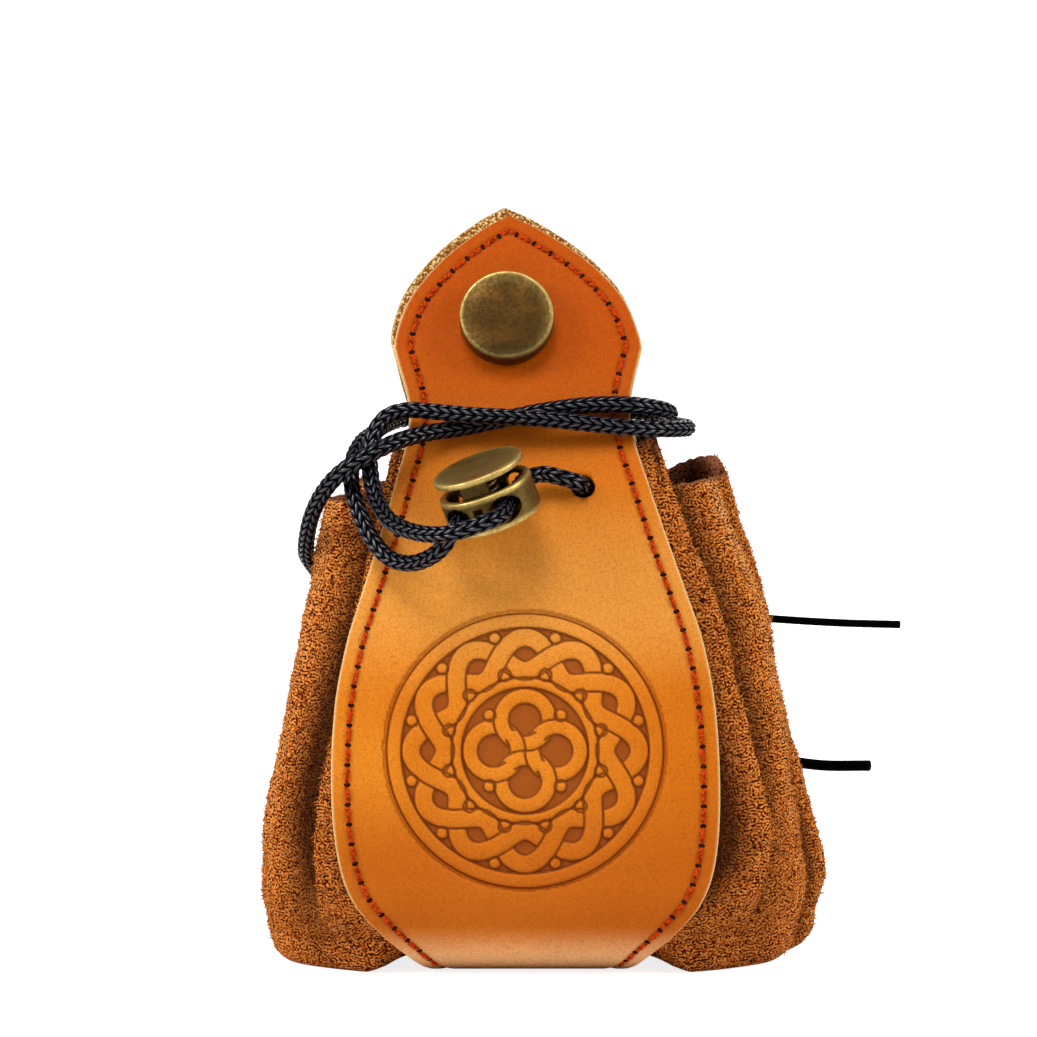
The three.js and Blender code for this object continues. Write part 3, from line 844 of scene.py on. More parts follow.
@dataclass
class Studio:
    """Camera at the photograph's angle, soft lights and a pale floor."""

    aim_mm: Point = (-4.23, 0.0, 70.5)
    view_width_mm: float = 165.7
    elevation_deg: float = 6.0
    distance_m: float = 1.4
    sensor_mm: float = 36.0
    floor_m: float = 12.0
    sky: float = 0.22
    sky_tint: Colour = (1.0, 0.94, 0.86)
    lamps: tuple[Lamp, ...] = (
        Lamp("key", (-0.15, -0.5, 0.9), 0.4, 5.0, (1.0, 0.98, 0.95)),
        Lamp("left", (-0.75, -0.3, 0.5), 0.4, 4.4),
        Lamp("right", (0.75, -0.3, 0.5), 0.4, 3.8),
        Lamp("back", (0.2, 0.8, 0.6), 0.5, 2.0),
    )

    def build(self) -> None:
        """Makes the camera, the lights and the floor."""
        self.camera()
        self.light()
        self.floor()

    def camera(self) -> None:
        """Camera far off with a long lens, so that the outlines are nearly parallel."""
        lens = bpy.data.cameras.new("camera")
        lens.sensor_width = self.sensor_mm
        lens.lens = self.sensor_mm * self.distance_m / (self.view_width_mm * MM)
        rise = math.radians(self.elevation_deg)
        way = Vector((0.0, -math.cos(rise), math.sin(rise)))
        place = Vector(self.aim_mm) * MM + self.distance_m * way
        bpy.context.scene.camera = self.aimed("camera", lens, place)

    def aimed(self, name: str, data: bpy.types.ID, place: Sequence[float]) -> bpy.types.Object:
        """Stands a camera or a light where it looks at the bag.

        Args:
            name: name of the object.
            data: the camera or the light.
            place: where it stands, in m.

        Returns:
            The object.
        """
        made = stand(name, data)
        made.location = place
        made.rotation_euler = (Vector(self.aim_mm) * MM - made.location).to_track_quat("-Z", "Y").to_euler()
        return made

    def light(self) -> None:
        """Even pale surroundings and a few soft boxes."""
        scene = bpy.context.scene
        scene.view_settings.view_transform = "Standard"
        scene.world = bpy.data.worlds.new("surroundings")
        scene.world.use_nodes = True
        sky = scene.world.node_tree.nodes["Background"]
        sky.inputs["Color"].default_value = (*self.sky_tint, 1.0)
        sky.inputs["Strength"].default_value = self.sky
        for lamp in self.lamps:
            glow = bpy.data.lights.new(lamp.name, "AREA")
            glow.shape = "SQUARE"
            glow.size = lamp.width
            glow.energy = lamp.power
            glow.color = lamp.tint
            self.aimed(lamp.name, glow, lamp.place)

    def floor(self) -> None:
        """Wide plain floor under the bag."""
        reach = self.floor_m / 2
        corners = [(-reach, -reach, 0), (reach, -reach, 0), (reach, reach, 0), (-reach, reach, 0)]
        mesh = bpy.data.meshes.new("floor")
        mesh.from_pydata(corners, [], [(0, 1, 2, 3)])
        mesh.materials.append(FLOOR.material())
        stand("floor", mesh)


# Drawstring


def span(start: Array, end: Array, leave: Array, reach: Array, share: Array) -> Array:
    """Smooth line between two points.

    Args:
        start: the first point.
        end: the second point.
        leave: slope at the first.
        reach: slope at the second.
        share: places between them, from 0 to 1.

    Returns:
        The points at those places.
    """
    cubic = 2 * start - 2 * end + leave + reach
    square = -3 * start + 3 * end - 2 * leave - reach
    return start + leave * share + square * share**2 + cubic * share**3


def run_along(line: Array) -> Array:
    """Distance of each point of a line from its first."""
    return np.r_[0, np.cumsum(np.linalg.norm(np.diff(line, axis=0), axis=1))]


@dataclass(frozen=True)
class Route:
    """A smooth line through given points, in mm."""

    points: tuple[Point, ...]

    def even(self, step: float) -> Array:
        """Points along the line at an even step.

        Args:
            step: distance between the points in mm.

        Returns:
            Places in mm, one per row.
        """
        knots = np.array(self.points)
        knots = np.vstack([2 * knots[0] - knots[1], knots, 2 * knots[-1] - knots[-2]])
        gaps = np.sqrt(np.linalg.norm(np.diff(knots, axis=0), axis=1))
        share = np.linspace(0, 1, 60, endpoint=False)[:, None]
        fine = []
        for i in range(1, len(knots) - 2):
            p0, p1, p2, p3 = knots[i - 1 : i + 3]
            d0, d1, d2 = gaps[i - 1 : i + 2]
            leave = d1 * ((p1 - p0) / d0 - (p2 - p0) / (d0 + d1) + (p2 - p1) / d1)
            reach = d1 * ((p2 - p1) / d1 - (p3 - p1) / (d1 + d2) + (p3 - p2) / d2)
            fine.append(span(p1, p2, leave, reach, share))
        fine = np.vstack([*fine, knots[-2]])
        run = run_along(fine)
        stops = np.linspace(0, run[-1], max(2, round(run[-1] / step) + 1))
        return np.column_stack([np.interp(stops, run, fine[:, k]) for k in range(3)])


def carried_sides(tangents: Array) -> tuple[Array, Array]:
    """Two directions across a line, carried along it without twist.

    Args:
        tangents: unit directions of the line, one per point.

    Returns:
        The two directions at each point.
    """
    sides = np.empty_like(tangents)
    helper = (0.0, 0.0, 1.0) if abs(tangents[0][2]) < 0.9 else (1.0, 0.0, 0.0)
    sides[0] = unit(np.cross(tangents[0], helper))
    for i in range(1, len(tangents)):
        sides[i] = unit(sides[i - 1] - tangents[i] * (sides[i - 1] @ tangents[i]))
    return sides, np.cross(tangents, sides)


def tube_rings(line: Array, radii: Array, sides: int) -> Array:
    """Rings of points round a line.

    Args:
        line: places in mm.
        radii: radius in mm at each place and side, or one for all.
        sides: number of points round the line.

    Returns:
        Places in mm, shaped (places, sides, 3).
    """
    across, up = carried_sides(unit(np.gradient(line, axis=0)))
    turn = (2 * np.pi * np.arange(sides) / sides)[None, :, None]
    spokes = across[:, None] * np.cos(turn) + up[:, None] * np.sin(turn)
    return line[:, None] + np.asarray(radii)[..., None] * spokes


MOUTH_ROUTE = Route((
    (6.1, -8.8, 74.4), (8.2, -7.4, 73.6), (12.6, -7.4, 72.6), (17.4, -6.2, 71.8), (20.8, -2.2, 71.4),
    (20.8, 3.2, 71.4), (17.2, 8.0, 71.8), (9, 10.4, 72.2), (-3, 10.8, 72.4), (-15, 10.4, 72.0),
    (-23.4, 7.6, 71.2), (-26.6, 2.2, 70.8), (-26.2, -3.6, 70.8), (-22.6, -7.2, 71.6), (-17.4, -7.6, 72.8),
    (-14.2, -7.4, 73.8), (-12.7, -8.8, 74.4),
))
RIGHT_ROUTE = Route((
    (6.0, -9.9, 74.8), (6.0, -13.4, 76.3), (5.4, -16.8, 77.8), (2.8, -18.0, 78.8), (-0.4, -17.8, 79.4),
    (-2.9, -19.2, 78.9), (-4.1, -22.0, 77.9), (-5.0, -26.3, 76.8), (-6.1, -31.0, 75.5),
    (-6.9, -34.4, 74.6), (-8.8, -36.6, 74.0), (-11.6, -37.4, 73.0), (-14.8, -36.6, 72.0),
    (-18.2, -34.2, 71.6), (-21.6, -30.6, 71.9), (-24.4, -26.6, 73.0), (-26.3, -22.4, 75.4),
    (-27.4, -19.0, 78.6), (-27.7, -16.6, 82.2), (-26.9, -14.9, 85.8), (-24.9, -13.7, 88.2),
    (-21.8, -13.3, 89.1), (-17.5, -13.8, 88.9), (-12, -14.9, 88.5), (-6, -15.0, 88.2), (0, -14.6, 87.8),
    (7, -13.9, 87.0), (13.5, -13.0, 86.3), (19, -10.2, 85.8), (22.4, -4.8, 85.4), (22.3, 1.4, 85.1),
    (19.8, 8.2, 84.6), (15.2, 14.0, 82.2), (10.6, 18.0, 77.2), (8.4, 21.4, 70), (8.8, 25.0, 61.5),
    (10.8, 27.8, 52.5), (15, 29.8, 43.5), (21.5, 30.4, 35.8), (29, 28.8, 31.0), (36.8, 25.0, 28.8),
    (44.6, 20.8, 28.0), (52.7, 17.0, 28.4),
))
LEFT_ROUTE = Route((
    (-12.6, -9.9, 74.8), (-12.6, -13.4, 76.3), (-12.0, -17.2, 77.0), (-11.1, -19.6, 76.0),
    (-12.2, -24.2, 74.7), (-13.2, -28.8, 73.3), (-14.4, -31.4, 72.0), (-15.8, -31.6, 69.6),
    (-18.2, -29.4, 67.4), (-21.4, -26.6, 66.2), (-24.6, -23.6, 66.8), (-27.2, -21.0, 69.4),
    (-29.2, -18.8, 73.2), (-30.5, -16.6, 77.2), (-30.5, -13.2, 80.8), (-29.2, -8.6, 83.4),
    (-27.2, -3.0, 84.6), (-25.4, 3.6, 85.2), (-22.6, 9.6, 85.6), (-16.5, 11.6, 86.1), (-6, 10.6, 86.6),
    (5, 10.0, 86.8), (12, 8.4, 87.0), (17.4, 4.4, 87.1), (19.8, -1.2, 87.3), (18.9, -7.2, 88.6),
    (14.5, -11.2, 89.7), (7.5, -11.7, 89.8), (0, -11.8, 88.9), (-7, -12.3, 87.5), (-13, -12.8, 86.3),
    (-18.5, -14.6, 85.6), (-23.4, -18.2, 84.6), (-28, -20.6, 82.6), (-32, -19.6, 80.0),
    (-34.8, -17.0, 76.8), (-36.8, -13.4, 72.8), (-37.8, -9.0, 68.6), (-38.0, -3.8, 65.2),
    (-37.0, 1.6, 62.6), (-36.0, 7.6, 60.6), (-35.4, 14.4, 58.8), (-33.8, 22.6, 57.2),
    (-28.2, 27.2, 56.0), (-18, 27.9, 54.8), (-6, 28.8, 53.7), (4, 30.4, 53.1), (12, 31.2, 52.8),
    (21, 30, 52.3), (29, 27.4, 51.9), (38, 24, 51.5), (48, 20.6, 51.3), (57.5, 17.4, 51.4),
))


@dataclass
class Drawstring:
    """Waxed braided cord: the run in the mouth and the two strands with their free ends."""

    radius: float = 1.25
    skin: float = 1.38
    sides: int = 48
    step: float = 0.22
    plaits: int = 4
    plait_pitch: float = 1.7
    groove: float = 0.09
    ridge: float = 0.13
    right_end: tuple[float, float] = (14.0, 0.64)
    left_end: tuple[float, float] = (24.0, 0.46)
    smooth_end: tuple[float, float] = (34.0, 0.15)

    def build(self, on_cord: list[bpy.types.Object]) -> None:
        """Args:
            on_cord: the pieces that sit on the cord; not used.
        """
        mouth, _ = self.strand("mouth_cord", MOUTH_ROUTE, (0.0, 1.0))
        settle(mouth, Body.BAG, ["drawstring_mouth"])
        for side, route, end, pieces in (
            ("right", RIGHT_ROUTE, self.right_end, on_cord),
            ("left", LEFT_ROUTE, self.left_end, []),
        ):
            strand, line = self.strand(f"{side}_cord", route, end)
            settle(strand, Body.BAG, [f"drawstring_{side}"])

    def strand(self, name: str, route: Route, end: tuple[float, float]) -> tuple[bpy.types.Object, Array]:
        """One run of the cord, with its plaits in its surface.

        Args:
            name: name of the piece.
            route: the line that it follows.
            end: length of its thin free end in mm, and the share of the radius left there.

        Returns:
            The piece and the line that it follows, in mm.
        """
        line = route.even(self.step)
        run = np.arange(len(line)) * np.linalg.norm(line[1] - line[0])
        turn = 2 * np.pi * np.arange(self.sides) / self.sides
        lay = 2 * np.pi * run[:, None] / self.plait_pitch
        column = np.cos(self.plaits * turn)[None, :]
        lean = 2 * self.plaits * turn[None, :]
        slant = np.where(column > 0, lean + lay, lean - lay)
        back = (1 - (0.5 - 0.5 * np.cos(slant)) ** 2) * np.abs(column) ** 0.35
        rest = run[-1] - run
        rubbed, kept = self.smooth_end
        relief = mix(kept, 1.0, smooth_step(0.6 * rubbed, rubbed, rest))[:, None]
        scale = 1 - relief * (self.groove * (1 - np.abs(column) ** 0.5) + self.ridge * (1 - back))
        thin_length, thin_share = end
        full = smooth_step(thin_length, 1.5 * thin_length + self.step, rest)
        scale = scale * mix(thin_share, 1.0, full)[:, None]
        points, faces = closed_rings(tube_rings(line, self.skin * scale, self.sides))
        plait = np.r_[(relief * back).ravel(), 0, 0]
        return make_object(name, points, faces, WAXED.material(), {"plait": plait}, 180.0), line


# Strap of leather


# Distance in mm that stands for no line near
FAR = 9.0
# Height, half width and middle of the width
STRAP_WIDTHS = HeightTable((
    (0, 15.4, -2.6), (1, 17.0, -2.6), (3.5, 19.6, -2.7), (7, 23.3, -2.7), (12, 27.3, -2.8),
    (19, 29.7, -2.9), (30, 30.6, -3.1), (44, 29.9, -3.2), (54, 28.0, -3.2), (61, 25.7, -3.3),
    (70, 22.6, -3.5), (78, 20.0, -3.7), (85, 17.9, -3.9), (90, 17.6, -4.1), (96.5, 19.2, -4.3),
    (98.4, 19.7, -4.3), (101, 19.2, -4.4), (105.6, 17.3, -4.5), (109.4, 14.2, -4.7), (112.8, 10.4, -5.0),
    (116.8, 4.3, -5.5), (118.6, 0.5, -5.8),
))
# Height, then y of the outer face in front and at the back
STRAP_FACES = HeightTable((
    (15, -28, 28), (30, -28, 28), (44, -26.7, 27), (54, -24.4, 24.8), (61, -22.2, 22.4), (70, -18.7, 18.2),
    (78, -15.0, 13.4), (84.3, -11.9, 7.9), (90, -9.2, 1.8), (94, -7.3, -0.9), (98.4, -5.3, 0.8),
    (105.6, -1.9, 4.2), (112.8, 1.5, 7.6), (118.6, 4.2, 10.3),
))


@dataclass
class StrapShape:
    """Where the strap runs: from the front tab down the front, under the base and up the back."""

    thick: float = 2.0
    heel_radius: float = 15.0
    heel_y: float = 13.0
    back_rise: float = 0.1
    back_shift: float = -0.6
    back_fade: tuple[float, float] = (84.0, 94.0)
    crown: float = 1.2
    crown_span: tuple[float, float] = (4.0, 80.0)

    @cached_property
    def profile(self) -> tuple[Array, Array, Array]:
        """Side view of the outer face, from the front tip to the back one.

        Returns:
            Run along it, then places and directions in y and z.
        """
        rows = np.array(STRAP_FACES.rows)
        front, back = rows[::-1][:, [1, 0]], rows[:, [2, 0]]
        back[-1] += (self.back_rise / 2, self.back_rise)
        quarter = np.linspace(0, np.pi / 2, 40)[1:]
        heel = self.heel_radius * np.column_stack([np.cos(np.pi + quarter), 1 + np.sin(np.pi + quarter)])
        toe = self.heel_radius * np.column_stack([np.sin(quarter), 1 - np.cos(quarter)])
        base = np.column_stack([np.linspace(-self.heel_y, self.heel_y, 30)[1:], np.zeros(29)])
        shift = np.array((self.heel_y, 0.0))
        line = np.vstack([self.through(front), heel - shift, base, toe + shift, self.through(back)[1:]])
        run = run_along(line)
        return run, line, unit(np.gradient(line, run, axis=0))

    @staticmethod
    def through(knots: Array) -> Array:
        """Smooth line through points of the side view.

        Args:
            knots: the points, in mm.

        Returns:
            Points close together along the line, in mm.
        """
        ends = np.vstack([knots[0], knots, knots[-1]])
        share = np.linspace(0, 1, 24, endpoint=False)[:, None]
        fours = zip(ends, ends[1:], ends[2:], ends[3:])
        spans = [span(p1, p2, (p2 - p0) / 2, (p3 - p1) / 2, share) for p0, p1, p2, p3 in fours]
        return np.vstack([*spans, knots[-1]])

    @property
    def length(self) -> float:
        """Length of the strap in mm, from tip to tip."""
        return float(self.profile[0][-1])

    def run_at(self, z: float) -> float:
        """Finds a height on the front of the strap.

        Args:
            z: the height in mm.

        Returns:
            Run along the strap to it, in mm.
        """
        run, line, _ = self.profile
        front = run < self.length * 0.4
        return float(np.interp(-z, -line[front, 1], run[front]))

    def half_and_middle(self, run: Array) -> tuple[Array, Array]:
        """Width of the strap at places along it.

        Args:
            run: distance along the strap from its front tip, in mm.

        Returns:
            Half the width, and x of its middle, in mm.
        """
        height = np.maximum(np.interp(run, self.profile[0], self.profile[1][:, 1]), 0)
        low, high = self.back_fade
        fade = np.where(run > self.length / 2, clamp01((height - low) / (high - low)), 0)
        height = height - self.back_rise * fade
        return STRAP_WIDTHS.at(1, height), STRAP_WIDTHS.at(2, height) + self.back_shift * fade

    def outward(self, run: Array) -> Array:
        """Directions out of the strap's outer face.

        Args:
            run: distance along the strap from its front tip, in mm.

        Returns:
            One direction for each place.
        """
        along, _, ways = self.profile
        way = unit(np.stack([np.interp(run, along, ways[:, k]) for k in range(2)], -1))
        return np.stack([np.zeros_like(run), way[..., 1], -way[..., 0]], -1)

    def crown_at(self, z: Array) -> Array:
        """How far the strap's edges lie back from its middle at a height, in mm."""
        low, high = self.crown_span
        return self.crown * np.sin(np.pi * clamp01((z - low) / (high - low)))

    def surface(self, run: Array, share: Array, depth: Array) -> Array:
        """Places in or on the strap.

        Args:
            run: distance along the strap from its front tip, in mm.
            share: place across it, from -1 at its left edge to 1 at its right.
            depth: distance below its outer face, in mm.

        Returns:
            Places in mm.
        """
        run, share, depth = np.broadcast_arrays(run, share, depth)
        along, line, _ = self.profile
        y, z = (np.interp(run, along, line[:, k]) for k in range(2))
        half, middle = self.half_and_middle(run)
        flat = np.stack([middle + half * share, y, np.maximum(z, 0)], -1)
        return flat - self.outward(run) * (depth + self.crown_at(flat[..., 2]) * share**2)[..., None]


@dataclass(frozen=True)
class Strand:
    """One pressed band or boss of the roundel: its line and its half width, in mm."""

    line: Array
    half: float

    def distance(self, spots: Array) -> Array:
        """Measures how far spots of the panel lie from the line.

        Args:
            spots: places on the panel, in mm.

        Returns:
            Distances in mm.
        """
        tree = kdtree.KDTree(len(self.line))
        for i, (u, v) in enumerate(self.line):
            tree.insert((u, v, 0.0), i)
        tree.balance()
        return np.array([tree.find((u, v, 0.0))[2] for u, v in spots])


def ring_line(radius: float, middle: tuple[float, float] = (0.0, 0.0)) -> Array:
    """Line round a circle, in mm."""
    turn = np.linspace(0, 2 * np.pi, max(8, round(radius * 200)), endpoint=False)
    return np.array(middle) + polar(radius, turn)


@dataclass
class Roundel:
    """Pressed ornament on the belly: a plaited ring round four interlaced loops, in mm."""

    place: tuple[float, float] = (-3.2, 36.7)
    reach: float = 22.4
    border: tuple[float, float] = (20.6, 0.95)
    plait_radius: float = 15.3
    plait_swing: float = 2.65
    plait_waves: int = 6
    plait_half: float = 1.3
    inner_ring: tuple[float, float] = (10.75, 0.6)
    loop_out: float = 4.9
    loop_radius: float = 3.75
    loop_half: float = 1.0
    boss_half: float = 0.75
    boss_radii: tuple[float, float, float] = (18.4, 12.35, 7.9)
    gap: float = 0.42
    ground_depth: float = 0.5
    groove_depth: float = 0.22
    puff: float = 0.14

    def fields(self, spots: Array) -> tuple[Array, Array, Array]:
        """How the panel is pressed at spots near the roundel.

        Args:
            spots: places on the panel from the middle of the roundel, in mm.

        Returns:
            Distance into the ground between the bands, distance from the nearest groove, and height.
        """
        ways = [strand.distance(spots) for strand in self.strands]
        halves = [strand.half for strand in self.strands]
        radius = np.hypot(*spots.T)
        wave = np.sin(self.plait_waves * np.arctan2(spots[:, 1], spots[:, 0]))
        over = {(0, 1): wave > 0, (1, 0): wave <= 0}
        outer = radius > self.loop_out * math.sqrt(0.5)
        for k in range(4):
            here, following = 2 + k, 2 + (k + 1) % 4
            over[here, following] = outer
            over[following, here] = ~outer
        ground = np.full(len(spots), FAR)
        groove = np.full(len(spots), FAR)
        puff = np.zeros(len(spots))
        for i, (way, half) in enumerate(zip(ways, halves)):
            shown = np.ones(len(spots), bool)
            for (upper, lower), where in over.items():
                if lower == i:
                    shown &= ~where | (ways[upper] > halves[upper] + self.gap / 2)
            ground = np.minimum(ground, way - half - self.gap / 2)
            line = np.abs(way - half - self.gap / 2) - self.gap / 2
            groove = np.where(shown, np.minimum(groove, line), groove)
            swell = np.sqrt(clamp01(1 - (way / half) ** 2))
            puff = np.where(shown, np.maximum(puff, swell), puff)
        low = self.ground_depth * smooth_step(-self.gap / 2, self.gap, ground)
        cut = self.groove_depth * (1 - smooth_step(-self.gap / 2, self.gap / 2, groove))
        return np.where(radius > self.border[0], -FAR, ground), groove, self.puff * (puff - 0.5) - low - cut

    @cached_property
    def strands(self) -> list[Strand]:
        """Bands and bosses, the ones that cross each other first.

        Returns:
            The two plaits, the four loops, the two rings, then the bosses.
        """
        turn = np.linspace(0, 2 * np.pi, 6000, endpoint=False)
        swing = self.plait_swing * np.cos(self.plait_waves * turn)
        found = [Strand(polar(self.plait_radius + sign * swing, turn), self.plait_half) for sign in (1, -1)]
        quarters = np.arange(4) * np.pi / 2
        for middle in polar(self.loop_out, quarters):
            found.append(Strand(ring_line(self.loop_radius, middle), self.loop_half))
        found += [Strand(ring_line(radius), half) for radius, half in (self.border, self.inner_ring)]
        crossings = (np.arange(2 * self.plait_waves) + 0.5) * np.pi / self.plait_waves
        for radius, angles in zip(self.boss_radii, (crossings, crossings, quarters + np.pi / 4)):
            found += [Strand(spot[None, :], self.boss_half) for spot in polar(radius, angles)]
        return found


@dataclass
class LeatherStrap:
    """The strap: pressed front, rounded cut edges, rough inner side and the two cord holes."""

    shape: StrapShape
    roundel: Roundel = field(default_factory=Roundel)
    pressed_heights: tuple[float, float] = (60.5, 13.0)
    pressed_share: float = 0.84
    fine_step: float = 0.28
    coarse_step: float = 1.5
    tip_step: float = 0.5
    tip_length: float = 6.0
    fine_lanes: int = 184
    edge_lanes: int = 13
    inner_lanes: int = 13
    edge_inset: float = 0.5
    seam_inset: float = 2.6
    seam_depth: float = 0.16
    seam_half: float = 0.55
    hole_height: float = 77.2
    hole_places: tuple[float, float] = (6.0, -12.6)
    hole_radius: float = 1.9
    edge_profile: tuple[tuple[float, float, float, float], ...] = (
        (0.25, 0.07, 0.3, 0.0), (0.07, 0.25, 0.9, 0.0), (0.0, 0.5, 1.0, 0.0), (0.0, 1.0, 1.0, 0.2),
        (0.0, 1.55, 0.8, 0.5), (0.07, 1.8, 0.5, 0.9), (0.25, 1.95, 0.2, 1.0),
    )

    def build(self) -> None:
        """Makes the strap and cuts its cord holes."""
        run, lanes = self.stations(), self.lanes()
        half, _ = self.shape.half_and_middle(run)
        trim = np.minimum(self.edge_inset, 0.45 * half)
        keep = (1 - trim / half)[:, None]
        relief, marks = self.pressing(run, lanes[None, :] * keep)
        rings = [self.shape.surface(run[:, None], lanes[None, :] * keep, -relief)]
        edge, flesh = [np.zeros_like(relief)], [np.zeros_like(relief)]
        profile = np.array(self.edge_profile)
        inset = profile[None, :, 0] * (trim / self.edge_inset / half)[:, None]
        under = np.linspace(1, -1, self.inner_lanes)[None, :] * keep
        wide = np.ones((len(run), 1))
        inner = np.tile((0.0, self.shape.thick, 0.0, 1.0), (self.inner_lanes, 1))
        for share, rows in ((1 - inset, profile), (under, inner), (-(1 - inset[:, ::-1]), profile[::-1])):
            rings.append(self.shape.surface(run[:, None], share, wide * rows[:, 1]))
            edge.append(wide * rows[:, 2])
            flesh.append(wide * rows[:, 3])
        points, faces = closed_rings(np.concatenate(rings, axis=1))
        values = {"edge": np.concatenate(edge, axis=1), "flesh": np.concatenate(flesh, axis=1)}
        unmarked = (len(run), values["edge"].shape[1] - len(lanes))
        plain = {"edge": 1.0, "flesh": 0.0, "ground": -FAR, "groove": FAR, "seam": FAR}
        for mark, found in marks.items():
            values[mark] = np.concatenate([found, np.full(unmarked, plain[mark])], axis=1)
        values = {mark: np.r_[found.ravel(), plain[mark], plain[mark]] for mark, found in values.items()}
        strap = make_object("strap", points, faces, LEATHER.material(), values)
        # The walls of the cord holes take the ground and groove colours, a painted shade inside the holes.
        shade = plain | {"edge": 0.0, "ground": FAR, "groove": -FAR}
        carve(strap, [self.hole(x, shade) for x in self.hole_places])
        settle(strap, Body.BAG, ["leather_strap"])

    def stations(self) -> Array:
        """Places along the strap, close together at the tips and over the roundel.

        Returns:
            Runs from the front tip, in mm.
        """
        high, low = (self.shape.run_at(z) for z in self.pressed_heights)
        end = self.shape.length
        spans = (
            (0.0, self.tip_length, self.tip_step), (self.tip_length, high, self.coarse_step),
            (high, low, self.fine_step), (low, end - self.tip_length, self.coarse_step),
            (end - self.tip_length, end, self.tip_step),
        )
        parts = [np.linspace(a, b, round((b - a) / step), endpoint=False) for a, b, step in spans]
        return np.r_[np.concatenate(parts), end]

    def lanes(self) -> Array:
        """Places across the outer face, close together where the roundel is.

        Returns:
            Shares of the half width.
        """
        middle = np.linspace(-self.pressed_share, self.pressed_share, self.fine_lanes + 1)
        outer = np.linspace(self.pressed_share, 1, self.edge_lanes + 1)[1:]
        return np.concatenate([-outer[::-1], middle, outer])

    def pressing(self, run: Array, share: Array) -> tuple[Array, dict[str, Array]]:
        """How the outer face is pressed by the roundel and drawn in along the seams.

        Args:
            run: places along the strap in mm.
            share: places across it, one row per place along it.

        Returns:
            Height of the outer face in mm, and the marks that the finish reads.
        """
        half, middle = (column[:, None] for column in self.shape.half_and_middle(run))
        relief = np.zeros(share.shape)
        ground, groove = np.full(share.shape, -FAR), np.full(share.shape, FAR)
        across, height = self.roundel.place
        up = self.shape.run_at(height) - run[:, None]
        spots = np.stack(np.broadcast_arrays(middle + half * share - across, up), -1)
        near = np.hypot(spots[..., 0], spots[..., 1]) < self.roundel.reach
        ground[near], groove[near], relief[near] = self.roundel.fields(spots[near])
        right, left = (np.gradient((middle + sign * half)[:, 0], run)[:, None] for sign in (1, -1))
        slope = np.where(share > 0, right, left)
        seam = np.abs(half * (1 - np.abs(share)) / np.sqrt(1 + slope**2) - self.seam_inset)
        relief -= self.seam_depth * np.exp(-((seam / self.seam_half) ** 2))
        return relief, {"ground": ground, "groove": groove, "seam": seam}

    def hole(self, x: float, marks: dict[str, float]) -> bpy.types.Object:
        """Cutter for one cord hole.

        Args:
            x: where the hole is across the strap, in mm.
            marks: attribute values on the wall of the hole.

        Returns:
            The cutter.
        """
        run = np.array(self.shape.run_at(self.hole_height))
        out = self.shape.outward(run)
        half, middle = self.shape.half_and_middle(run)
        across = np.array((1.0, 0.0, 0.0))
        turn = np.linspace(0, 2 * np.pi, 48, endpoint=False)[:, None]
        rim = np.cos(turn) * across + np.sin(turn) * np.cross(out, across)
        outline = self.shape.surface(run, (x - middle) / half, 0.0) + self.hole_radius * rim
        return prism("cord_hole", outline, out, 5.0, marks)


